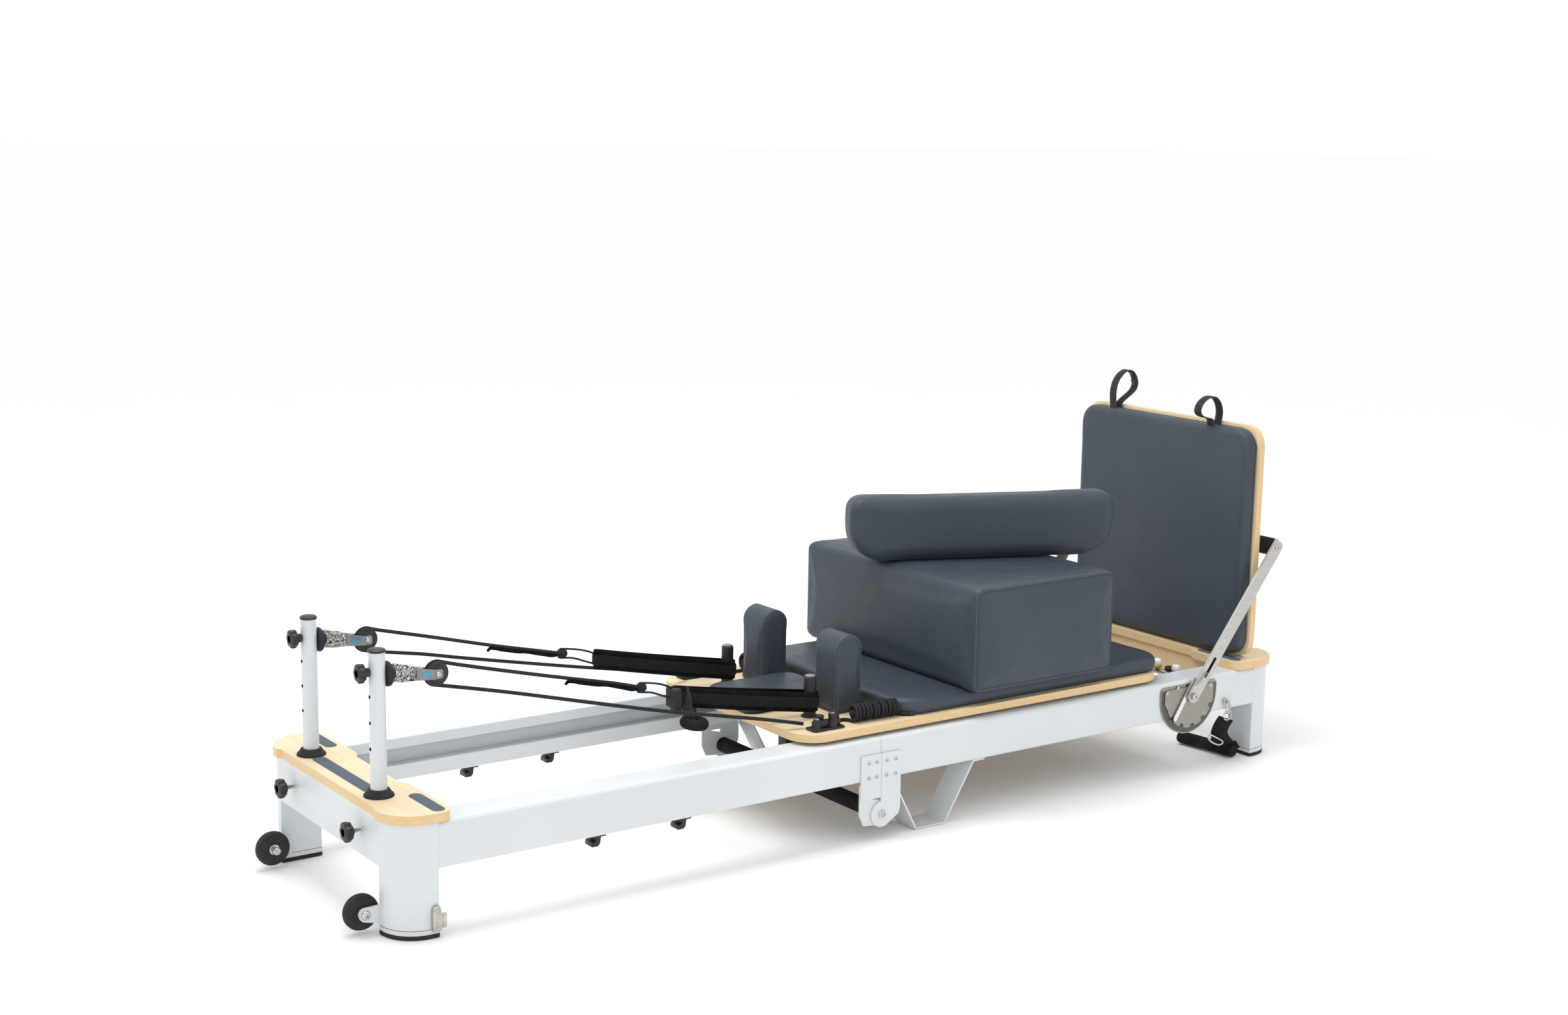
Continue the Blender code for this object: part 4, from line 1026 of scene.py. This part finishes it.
def make_jump_pad():
    pad = stuffed("jump_pad_cover", "jump_board_pad", "jump_board", 0.0065, 0.004, 0.0012, (0, "high"), 0.85)
    line = rounded_loop(-0.314, 0.314, 0.2625, 0.8585, 0.048, lambda a, b: Vector((1.1735, a, b)))
    welt("jump_pad_seam", pad, "jump_board", line, 0.0012)
    far = [(-.008, 0), (-.01, .03), (-.008, .055), (0, .078), (.014, .096), (.034, .107), (.05, .104),
           (.062, .088), (.066, .068), (.058, .05), (.036, .034), (.014, .018), (.008, 0)]
    near = [(.01, 0), (.016, .018), (.015, .04), (.006, .062), (-.012, .078), (-.034, .076), (-.052, .062),
            (-.058, .044), (-.05, .03), (-.03, .022), (-.012, .017), (-.008, 0)]
    for mark, y, sway, loop in (("far", 0.19, 0.004, far), ("near", -0.17, -0.005, near)):
        line = [(1.1603 + x * 0.97, y + sway * math.sin(k * 0.55), 0.852 + z * 0.96)
                for k, (x, z) in enumerate(loop)]
        build(f"jump_board_loop_{mark}", GREY_WEBBING, "jump_board",
              (tape, smooth_path(line, 4), 0.025, 0.0022, ALONG_Y), sharp=60)


# Risers, pulleys and knobs

RISER_X = -1.183
RISER_WALL = 0.0171
RISER_KNOB_Z, BEAM_KNOB_Z = 0.517, 0.195


def make_risers():
    cap = [(0, 0.54), (0.0134, 0.54), (0.0134, 0.5566), (0.0178, 0.5568), (0.0184, 0.5585), (0.018, 0.5612),
           (0.015, 0.5632), (0.008, 0.564), (0, 0.5642)]
    hole = [(0, 0.0001), (0.0032, 0.0001), (0.0036, 0.0004), (0.0036, -0.002), (0, -0.002)]
    collar = [(0.0178, 0.259), (0.031, 0.259), (0.0312, 0.261), (0.03, 0.2632), (0.0262, 0.2668),
              (0.0236, 0.2705), (0.0228, 0.2725), (0.0215, 0.2738), (0.0178, 0.274)]
    for name, side in SIDES:
        body, y = f"riser_{name}", side * RISER_Y
        build(f"riser_cap_{name}", PLASTIC, body, (turned, cap, (RISER_X, y, 0), UP))
        # Near-black discs in the riser's pin holes: painted shade for the dark inside of each hole.
        build(f"riser_hole_painted_shade_{name}", HOLE_PAINTED_SHADE, body,
              *((turned, hole, (RISER_X - RISER_WALL, y, z), (-1, 0, 0), 16) for z in (0.466, 0.412, 0.358)))
        build(f"riser_collar_{name}", RUBBER, "head_half", (turned, collar, (RISER_X, y, 0), UP, 40))


def star(bm, origin, radius, thick, lobes=7, deep=0.14):
    """A lobed hand knob turned about -X, domed on its outer face."""
    steps = lobes * 12
    loops = []
    for share, scale in ((0.0, 0.8), (0.02, 0.93), (0.22, 1.0), (0.7, 1.0), (0.9, 0.94), (1.0, 0.82)):
        loop = []
        for k in range(steps):
            t = TAU * k / steps
            r = radius * scale * (1 - deep + deep * (0.5 + 0.5 * math.cos(lobes * t)) ** 0.6)
            loop.append(Vector(origin) + Vector((-thick * share, r * math.cos(t), r * math.sin(t))))
        loops.append(loop)
    rings(bm, loops)
    face = [(radius * 0.6, 0), (radius * 0.56, 0.0008), (radius * 0.42, 0.0011), (radius * 0.38, -0.0006),
            (0, -0.0008)]
    turned(bm, face, Vector(origin) + Vector((-thick, 0, 0)), (-1, 0, 0), 28)


def make_knobs():
    riser_boss = [(0.012, -0.0004), (0.011, 0.0045), (0.0095, 0.006), (0.0092, 0.012), (0, 0.012)]
    beam_boss = [(0.012, -0.0004), (0.0112, 0.005), (0, 0.005)]
    thread = [(0, 0)]
    for k in range(16):
        thread += [(0.005, 0.001 + 0.0012 * k), (0.0044, 0.0016 + 0.0012 * k)]
    thread += [(0.005, 0.0212), (0, 0.0212)]
    for name, side in SIDES:
        y = side * RISER_Y
        knob = f"riser_knob_{name}"
        build(f"riser_star_{name}", PLASTIC, knob, (star, (-1.2125, y, RISER_KNOB_Z), 0.0205, 0.0138),
              (turned, riser_boss, (-1.2127, y, RISER_KNOB_Z), ALONG_X, 24), stands_for=(knob,))
        knob = f"beam_knob_{name}"
        build(f"beam_star_{name}", PLASTIC, knob, (star, (-1.247, y, BEAM_KNOB_Z), 0.0215, 0.015),
              (turned, beam_boss, (-1.2472, y, BEAM_KNOB_Z), ALONG_X, 24), stands_for=(knob,))
        build(f"beam_stud_{name}", STEEL, knob, (turned, thread, (-1.2438, y, BEAM_KNOB_Z), ALONG_X, 18))


def smooth_pairs(pairs, steps):
    return [(p.x, p.z) for p in smooth_path([(a, 0, b) for a, b in pairs], steps)]


def pulley_strap(y):
    """The loops of the tape that joins a pulley to its riser, a little wavy along its edges."""
    start = -1.15
    line = [(start, 0), (-1.14, 0.0008), (-1.128, -0.0004), (-1.116, 0.0004), (-1.104, 0), (-1.093, 0)]
    halves = smooth_pairs(enumerate((0.0185, 0.0192, 0.0184, 0.017, 0.015, 0.0128)), 3)
    section = ((-1, -0.86), (-0.75, -0.98), (0, -1.02), (0.75, -0.98), (1, -0.86), (1.1, -0.3), (1.06, 0.25),
               (1, 0.86), (0.75, 0.98), (0, 1.02), (-0.75, 0.98), (-1, 0.86), (-1.08, 0.3), (-1.04, -0.25))
    loops = []
    for (x, dz), (_, half) in zip(smooth_pairs(line, 3), halves):
        drop = 0.5085 - (x - start) * 0.155
        thick = 0.0056 + 0.0006 * math.sin((x - start) * 160)
        loops.append([Vector((x, y + thick * a, drop + dz + half * b)) for a, b in section])
    return loops


def make_pulleys():
    grommet = [(0.006, -0.002), (0.0235, -0.0018), (0.0258, 0.001), (0.0262, 0.005), (0.025, 0.0078),
               (0.0215, 0.0098), (0.015, 0.0112), (0.012, 0.018), (0.006, 0.0182)]
    cheek = [(-1.101, 0.488), (-1.06, 0.4846), (-1.045, 0.4858), (-1.0425, 0.49), (-1.0425, 0.5005),
             (-1.045, 0.5046), (-1.06, 0.505), (-1.084, 0.51), (-1.101, 0.5146)]
    web = corners(-1.1, -1.085, 0.49, 0.512, 0.002, 2)
    label = corners(-1.0905, -1.069, 0.4925, 0.5035, 0.0022, 3)
    axle = [(0, 0.0114), (0.0052, 0.0114), (0.0054, 0.0128), (0.0046, 0.0142), (0.0026, 0.0146),
            (0.0022, 0.0138), (0, 0.0138)]
    rim = [(0.0036, -0.0066), (0.018, -0.0066), (0.0195, -0.006), (0.0215, -0.0064), (0.025, -0.0064),
           (0.0255, -0.0058), (0.0253, -0.005)]
    groove = [(0.0205 + 0.0046 * (abs(k) / 4) ** 2, 0.0046 * k / 4) for k in range(-4, 5)]
    wheel = rim + groove + [(r, -h) for r, h in rim[::-1]]
    for name, side in SIDES:
        body, y = f"riser_{name}", side * RISER_Y
        centre = (SHEAVE_X, y, SHEAVE_Z)
        build(f"pulley_grommet_{name}", RUBBER, body, (turned, grommet, (-1.165, y, 0.509), ALONG_X, 40),
              stands_for=(f"pulley_block_{name}",))
        build(f"pulley_strap_{name}", CRACKLE, body, (rings, pulley_strap(y)), sharp=60)
        build(f"pulley_cheeks_{name}", GREY_CHEEK, body,
              *((slab, cheek, "Y", y + dy - 0.0016, y + dy + 0.0016, 0.0007) for dy in (-0.0098, 0.0098)),
              (slab, web, "Y", y - 0.009, y + 0.009, 0.0006), slot="stainless")
        build(f"pulley_plate_{name}", PLATE, body,
              *((slab, label, "Y", y + dy - 0.0004, y + dy + 0.0004, 0.0002, 1) for dy in (-0.0117, 0.0117)))
        build(f"pulley_axle_{name}", STEEL, body, *((turned, axle, centre, (0, way, 0), 24) for way in (-1, 1)))
        build(f"sheave_wheel_{name}", PLASTIC, f"sheave_{name}", (turned, wheel, centre, ALONG_Y, 44),
              sharp=30, stands_for=(f"pulley_sheave_{name}",))


# Frame

# Each finish with the edge radius and bevel steps of the CAD nodes that take it.
NODE_FINISHES = (
    (PAINT, 0.0016, 2, "head_rail_left head_rail_right foot_rail_left foot_rail_right"),
    (PAINT, 0.0012, 2, "head_end_frame foot_end_frame"),
    (PAINT, 0.0008, 2, "fold_leaf_head_left fold_leaf_foot_left fold_leaf_head_right fold_leaf_foot_right"),
    (PAINT, 0.001, 2, "middle_foot_left middle_foot_right"),
    (PAINT, 0, 2, "riser_left riser_right"),
    (BIRCH_PLATFORM, 0.0022, 3, "head_platform foot_platform"),
    (BIRCH_DECK, 0.002, 3, "carriage_board"),
    (BIRCH_UPRIGHT, 0.0022, 3, "jump_board_panel"),
    (PLASTIC, 0.0008, 2, "carriage_underframe strap_peg_left strap_peg_right"),
    (STEEL, 0.0006, 2, "spring_bar"),
    (RUBBER, 0.001, 2, "carriage_wheel_head_left carriage_wheel_head_right"),
    (RUBBER, 0.001, 2, "carriage_wheel_foot_left carriage_wheel_foot_right"),
    (ARM_STEEL, 0.0012, 2, "foot_bar_frame"),
    (TAUPE, 0.0008, 2, "foot_bar_quadrant_left foot_bar_quadrant_right"),
    (CHROME, 0.0008, 2, "foot_bar_latch_left foot_bar_latch_right"),
)
LEG_OUT, LEG_IN, LEG_ROUND = 0.3275, 0.2475, 0.074
LEAF_FACE = 0.3318
HINGE_X, HINGE_Z = -0.0215, 0.06
AXLE_X, AXLE_Z = -1.253, 0.045


def screw_head(bm, place, axis, radius, height, socket=True):
    r, h = radius, height
    profile = [(0, -0.001), (r, -0.001), (r, h * 0.45), (r * 0.86, h * 0.85), (r * 0.6, h)]
    profile += [(r * 0.42, h), (r * 0.38, h * 0.35), (0, h * 0.3)] if socket else [(0, h * 1.05)]
    turned(bm, profile, place, axis, 20)


def leg_base(x_end, x_in, side, proud):
    """The plan outline of a leg, its outer corner a wide quarter round, set out by proud."""
    y_out, y_in = side * (LEG_OUT + proud), side * (LEG_IN - proud)
    sign = 1 if x_end > x_in else -1
    end, inner = x_end + sign * proud, x_in - sign * proud
    r = LEG_ROUND + proud
    centre = (end - sign * r, y_out - side * r)
    found = [(inner, y_in), (inner, y_out)]
    for k in range(13):
        t = math.radians(90 * k / 12)
        found.append((centre[0] + sign * r * math.sin(t), centre[1] + side * r * math.cos(t)))
    found.append((end, y_in))
    return found


def leaf_screws(side, xs):
    return [(screw_head, (x, side * LEAF_FACE, z), (0, side, 0), 0.0044, 0.0028) for x in xs for z in (0.185, 0.15)]


def make_frame():
    for finish, bevel, segments, names in NODE_FINISHES:
        for name in names.split():
            finish_node(name, finish, bevel, segments)
    for end, x_end, x_in in (("head", -1.2222, -1.1302), ("foot", 1.2822, 1.1902)):
        for name, side in SIDES:
            build(f"leg_pad_{end}_{name}", RUBBER, f"{end}_half",
                  (slab, leg_base(x_end, x_in, side, 0.0005), "Z", -0.0002, 0.0085, 0.0004),
                  (slab, leg_base(x_end, x_in, side, 0.0003), "Z", 0.018, 0.0188, 0.0001, 1))
    on_head, on_foot, on_axle = [], [], []
    for _, side in SIDES:
        out = (0, side, 0)
        on_head += leaf_screws(side, (-0.062, -0.04))
        on_foot += leaf_screws(side, (-0.011, 0.014))
        on_foot += [(screw_head, (HINGE_X, side * LEAF_FACE, HINGE_Z), out, 0.01, 0.0048, False),
                    (screw_head, (HINGE_X, side * 0.336, HINGE_Z), out, 0.0062, 0.0034)]
        on_axle += [(screw_head, (AXLE_X, side * 0.2495, AXLE_Z), out, 0.0098, 0.0062),
                    (screw_head, (AXLE_X, side * 0.2025, AXLE_Z), (0, -side, 0), 0.0088, 0.005, False)]
    build("hinge_screws_head", STEEL, "head_half", *on_head)
    build("hinge_screws_foot", STEEL, "foot_half", *on_foot)
    hook = [(-0.022, 0.1408), (0.02, 0.1408), (0.02, 0.13), (0.008, 0.13), (0.006, 0.116), (0.001, 0.11),
            (-0.013, 0.11), (-0.013, 0.1195), (-0.004, 0.123), (-0.004, 0.13), (-0.022, 0.13)]
    for x, mark in ((-0.752, "outer"), (-0.54, "inner")):
        for name, side in SIDES:
            y = side * 0.2875
            build(f"rail_hook_{mark}_{name}", PLASTIC, "head_half",
                  (slab, [(x + dx, z) for dx, z in hook], "Y", y - 0.016, y + 0.016, 0.0012))
    for end, start, stop in (("head", -1.129, -0.0275), ("foot", -0.0245, 1.189)):
        for name, side in SIDES:
            web = corners(start, stop, *sorted((side * 0.2772, side * 0.2835)), 0.0006, 1)
            build(f"rail_web_{end}_{name}", PAINT, f"{end}_half", (slab, web, "Z", 0.1752, 0.2148))
    build("wheel_bolts", STEEL, "head_half", *on_axle)


def make_inlays():
    """Ribbed grip strips set into the two platforms."""
    top = 0.2588
    strips = [("head_inlay_middle", "head_half", -1.1975, -1.1675, (-0.142, 0.142))]
    for name, side in SIDES:
        strips += [(f"head_inlay_{name}", "head_half", -1.136, -1.108, (side * 0.196, side * 0.324)),
                   (f"foot_inlay_{name}", "foot_half", 1.134, 1.164, (side * 0.172, side * 0.314))]
    for name, body, x0, x1, ys in strips:
        low, high = sorted(ys)
        round_end = min(x1 - x0, high - low) / 2 - 0.0001
        strip = corners(x0, x1, low, high, round_end, 8)
        build(name, INLAY, body, (slab, strip, "Z", top - 0.001, top + 0.0011, 0.0005))


def make_wheels():
    tyre = [(0.01, -0.01), (0.029, -0.0105), (0.033, -0.01), (0.0362, -0.0078), (0.0375, -0.004), (0.0375, 0.004),
            (0.0362, 0.0078), (0.033, 0.01), (0.029, 0.0105), (0.01, 0.01)]
    hub = [(0, 0.0098), (0.0112, 0.0098), (0.0112, 0.0112), (0.0092, 0.012), (0.0064, 0.012), (0.0064, 0.0136),
           (0.0048, 0.0142), (0, 0.0142)]
    for name, side in SIDES:
        body, centre = f"transport_wheel_{name}", (AXLE_X, side * 0.226, AXLE_Z)
        build(f"wheel_tyre_{name}", RUBBER, body, (turned, tyre, centre, ALONG_Y, 56), sharp=25, stands_for=(body,))
        build(f"wheel_hub_{name}", STEEL, body, *((turned, hub, centre, (0, way, 0), 24) for way in (-1, 1)))


def make_under_carriage():
    stop = [(0, 0), (0.0095, 0), (0.0095, 0.02), (0.008, 0.0225), (0, 0.0225)]
    for name, side in SIDES:
        y = side * 0.2
        build(f"carriage_bumper_{name}", PLASTIC, "carriage",
              (slab, corners(-0.211, -0.174, y - 0.016, y + 0.016, 0.003), "Z", 0.212, 0.2462, 0.0015),
              (turned, stop, (-0.1925, y, 0.2122), (0, 0, -1), 20))


def make_lifting_bar():
    foam = [(0.015, -0.3225), (0.0186, -0.3222), (0.019, -0.318), (0.019, 0.318), (0.0186, 0.3222), (0.015, 0.3225)]
    build("lifting_bar_sleeve", FOAM, "foot_half", (turned, foam, (HINGE_X, 0, HINGE_Z), ALONG_Y, 28),
          sharp=30, stands_for=("lifting_bar",))


# Springs

SPRING_Z, SPRING_BAR_X = 0.222, 1.0


def make_springs():
    start, end, radius, pitch = 0.5, 0.968, 0.0078, 0.0038
    collar = [(0, 0), (0.008, 0), (0.0088, 0.002), (0.0088, 0.008), (0.0076, 0.011), (0.005, 0.012),
              (0.004, 0.022), (0, 0.022)]
    band = [(0, 0), (0.0105, 0), (0.0118, 0.0015), (0.0118, 0.0052), (0.01, 0.007), (0, 0.007)]
    knob = [(0, 0), (0.0095, 0), (0.011, 0.003), (0.0114, 0.008), (0.0098, 0.013), (0.006, 0.0158), (0, 0.0165)]
    cup = [(0, 0), (0.0095, 0), (0.0112, 0.002), (0.0112, 0.01), (0.0098, 0.0118), (0.007, 0.0112), (0, 0.0108)]
    gear_band = [(0, 0), (0.01, 0), (0.0112, 0.0015), (0.0112, 0.0045), (0, 0.0062)]
    gear_knob = [(0, 0), (0.0092, 0), (0.0106, 0.003), (0.011, 0.008), (0.0094, 0.013), (0.0058, 0.0155), (0, 0.016)]
    for i, y in enumerate((-0.165, -0.06, 0.06, 0.165), 1):
        line = [Vector((0.47, y, 0.2262)), Vector((0.484, y, 0.2262))]
        for k in range(int((end - start) / pitch) * 10 + 1):
            t = TAU * k / 10
            line.append(Vector((start + pitch * k / 10, y + radius * math.cos(t), SPRING_Z + radius * math.sin(t))))
        coil = build(f"spring_coil_{i}", STEEL, None, (tube, line, 0.0011, 5), sharp=0, stands_for=(f"spring_{i}",))
        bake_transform(coil)
        tone, finish = ("yellow", YELLOW) if i in (1, 4) else ("red", RED)
        post_y = y + (-0.004 if y < 0 else 0.004)
        build(f"spring_collar_{i}", PLASTIC, "foot_half", (turned, collar, (0.967, y, SPRING_Z), ALONG_X, 20))
        build(f"spring_band_{i}_{tone}", finish, "foot_half", (turned, band, (SPRING_BAR_X, post_y, 0.23), UP, 22))
        build(f"spring_knob_{i}", WHITE_NYLON, "foot_half", (turned, knob, (SPRING_BAR_X, post_y, 0.237), UP, 24))
    for name, side in SIDES:
        y = side * 0.235
        build(f"spring_cup_{name}", PLASTIC, "foot_half", (turned, cup, (0.9985, side * 0.213, 0.2295), UP, 24))
        build(f"spring_gear_band_{name}", RED, "foot_half", (turned, gear_band, (SPRING_BAR_X, y, 0.23), UP, 22))
        build(f"spring_gear_knob_{name}", WHITE_NYLON, "foot_half",
              (turned, gear_knob, (SPRING_BAR_X, y, 0.2352), UP, 24))


# Foot bar

GRIP_X, GRIP_Z = 1.2305, 0.552
PIVOT_X, PIVOT_Z = 0.955, 0.199


def return_spring(side):
    """The thin coil beside one arm, from the pivot towards the latch."""
    start, stop = Vector((0.962, 0, 0.227)), Vector((0.995, 0, 0.2576))
    way = (stop - start).normalized()
    cross = Vector((-way.z, 0, way.x))
    line = []
    for k in range(97):
        t = TAU * k / 8
        p = start.lerp(stop, k / 96) + cross * (0.0032 * math.cos(t))
        line.append(Vector((p.x, side * (0.3488 + 0.0026 * math.sin(t)), p.z)))
    return line


def make_foot_bar():
    foam = [(0.0104, -0.337), (0.0205, -0.3368), (0.0222, -0.334), (0.0225, -0.325), (0.0223, -0.12), (0.0225, 0),
            (0.0223, 0.12), (0.0225, 0.325), (0.0222, 0.334), (0.0205, 0.3368), (0.0104, 0.337)]
    build("foot_bar_foam", FOAM, "foot_bar", (turned, foam, (GRIP_X, 0, GRIP_Z), ALONG_Y, 36), sharp=30,
          stands_for=("foot_bar_grip",))
    run = Vector((GRIP_X - PIVOT_X, 0, GRIP_Z - PIVOT_Z)).normalized()
    across = Vector((-run.z, 0, run.x))
    pivot = Vector((PIVOT_X, 0, PIVOT_Z))
    stud, middle = pivot + run * 0.145, pivot + run * 0.086
    slot = [middle + run * a + across * b for a, b in corners(-0.03, 0.03, -0.0045, 0.0045, 0.0044)]
    bolts, slots = [], []
    for _, side in SIDES:
        out = (0, side, 0)
        bolts += [(screw_head, (GRIP_X, side * 0.3465, GRIP_Z), out, 0.007, 0.0035),
                  (screw_head, (PIVOT_X, side * 0.35, PIVOT_Z), out, 0.0095, 0.004),
                  (screw_head, (stud.x, side * 0.3465, stud.z), out, 0.0035, 0.0018)]
        # A near-black slab over the slot in each arm: painted shade for the dark gap of the slot.
        slots.append((slab, [(p.x, p.z) for p in slot], "Y", *sorted((side * 0.3463, side * 0.3468))))
    build("foot_bar_bolts", STEEL, "foot_bar", *bolts)
    build("foot_bar_slot_painted_shade", HOLE_PAINTED_SHADE, "foot_bar", *slots)
    build("foot_bar_return_springs", STEEL, "foot_bar",
          *((tube, return_spring(side), 0.0008, 5) for _, side in SIDES), sharp=0)
    # A dark taupe slab just proud of each quadrant's backing, behind the notched front plate: painted shade, so the
    # notches read darker than the plate.
    arc = [math.pi * (1 + k / 28) for k in range(29)]
    notch_painted_shade = [(0.952 + 0.0955 * math.cos(t), PIVOT_Z + 0.0955 * math.sin(t)) for t in arc]
    notch_painted_shade += [(1.0475, 0.2205), (0.8565, 0.2205)]
    hub = [(0, 0), (0.015, 0), (0.015, 0.0022), (0.0135, 0.003), (0.0105, 0.003), (0.0105, 0.0052), (0, 0.0052)]
    for name, side in SIDES:
        build(f"quadrant_recess_{name}", NOTCH_SHADE_TAUPE, "foot_half",
              (slab, notch_painted_shade, "Y", *sorted((side * 0.3304, side * 0.3314))))
        build(f"quadrant_bolts_{name}", STEEL, "foot_half",
              *((screw_head, (x, side * 0.3333, z), (0, side, 0), 0.0048, 0.0012)
                for x, z in ((0.874, 0.2155), (1.028, 0.2155), (0.9105, 0.2235))),
              (turned, hub, (PIVOT_X, side * 0.3336, PIVOT_Z), (0, side, 0), 28))


# Hanging handle at the foot end


def make_spare_handle():
    body = "hanging_handle"
    near, far = Vector((1.146, -0.312, 0.0172)), Vector((1.126, -0.142, 0.0172))
    length = (far - near).length
    foam = [(0.007, -0.002), (0.014, -0.0015), (0.0158, 0.003), (0.0162, 0.012), (0.016, length / 2),
            (0.0162, length - 0.012), (0.0158, length - 0.003), (0.014, length + 0.0015), (0.007, length + 0.002)]
    build("spare_handle_grip", FOAM, body, (turned, foam, near, (far - near).normalized(), 28), sharp=30,
          stands_for=("spare_handle",))
    web = smooth_path([near + Vector((0, -0.002, 0)), (1.14, -0.302, 0.03), (1.112, -0.306, 0.047),
                       (1.09, -0.312, 0.072), (1.088, -0.32, 0.096), (1.092, -0.331, 0.118)], 4)
    build("spare_handle_webbing", WEBBING, body, (tape, web, 0.044, 0.0024, (0.82, -0.46, 0.08)), sharp=60)
    triangle = [(1.056, -0.313, 0.076), (1.08, -0.312, 0.064), (1.108, -0.31, 0.048), (1.098, -0.306, 0.04),
                (1.07, -0.308, 0.052), (1.052, -0.312, 0.066), (1.056, -0.313, 0.076)]
    build("spare_handle_triangle", CHROME, body, (tube, smooth_path(triangle, 3), 0.0024, 8, ALONG_Y), sharp=0)
    ring = [(1.094 + 0.016 * math.cos(t), -0.334 + 0.002 * math.cos(t), 0.126 + 0.012 * math.sin(t))
            for t in [math.radians(200 + 320 * k / 20) for k in range(21)]]
    build("spare_handle_ring", STEEL, body, (tube, ring, 0.002, 8, ALONG_Y), sharp=0)
    hook = [(x, -0.334, z) for x, z in (
        (1.094, 0.136), (1.0885, 0.141), (1.088, 0.152), (1.0905, 0.16), (1.096, 0.1625), (1.1005, 0.158),
        (1.101, 0.148), (1.0985, 0.14), (1.094, 0.136))]
    barrel = [(0, 0), (0.0042, 0), (0.0046, 0.003), (0.0042, 0.0065), (0, 0.0065)]
    build("spare_handle_snap", STEEL, body, (tube, smooth_path(hook, 3), 0.0019, 8, ALONG_Y),
          (turned, barrel, (1.094, -0.334, 0.1305), UP, 16), sharp=0)
    x, z = 1.0853, 0.1635
    washer = [(0, 0), (0.0078, 0), (0.0078, 0.0024), (0.004, 0.003), (0.0028, 0.0034), (0, 0.0034)]
    eye = [(x + 0.0075 * math.cos(t), -0.335 + 0.0012 * math.sin(t), z + 0.0075 * math.sin(t))
           for t in [TAU * k / 20 for k in range(20)]]
    build("rail_eye_bolt", STEEL, "foot_half", (turned, washer, (x, -0.3276, z), (0, -1, 0), 20),
          (tube, eye + [eye[0]], 0.0018, 8, ALONG_Y, 1.0, False), sharp=0)


# Latch at the head end


def make_latch():
    build("transport_lever", NICKEL, "latch",
          (slab, corners(-1.148, -1.1285, 0.0135, 0.06, 0.0045, 4), "Y", -0.3353, -0.329, 0.0012),
          (slab, corners(-1.1472, -1.1293, 0.052, 0.0685, 0.008, 6), "Y", -0.3338, -0.3285, 0.001),
          (slab, corners(-1.145, -1.1315, 0.018, 0.023, 0.002, 3), "Y", -0.336, -0.3345, 0.0004),
          stands_for=("transport_latch",))
    build("latch_keeper", NICKEL, "head_half",
          (slab, corners(-1.1302, -1.116, 0.019, 0.05, 0.003, 3), "Y", -0.3325, -0.3285, 0.0006))
    build("latch_rivets", STEEL, "head_half",
          *((screw_head, place, (0, -1, 0), 0.0028, 0.0016) for place in
            ((-1.1375, -0.3338, 0.061), (-1.123, -0.3325, 0.044), (-1.123, -0.3325, 0.025))))


def make_pegs():
    cap = [(0, 0.36), (0.0118, 0.36), (0.0122, 0.3612), (0.0112, 0.3622), (0, 0.3626)]
    foot = [(0.0147, 0.2649), (0.02, 0.2649), (0.0205, 0.2662), (0.019, 0.268), (0.0147, 0.2686)]
    for name, side in SIDES:
        place = (PEG_X, side * PEG_Y, 0)
        build(f"strap_peg_cap_{name}", GREY_CHEEK, "carriage", (turned, cap, place, UP, 28))
        build(f"strap_peg_foot_{name}", PLASTIC, "carriage", (turned, foot, place, UP, 28))


for make in (make_frame, make_inlays, make_risers, make_knobs, make_pulleys, make_wheels, make_under_carriage,
             make_lifting_bar, make_springs, make_foot_bar, make_spare_handle, make_latch, make_pegs, make_deck_pad,
             make_headrest, make_shoulder_rests, make_sitting_box, make_bolster, make_jump_pad, make_studio):
    make()
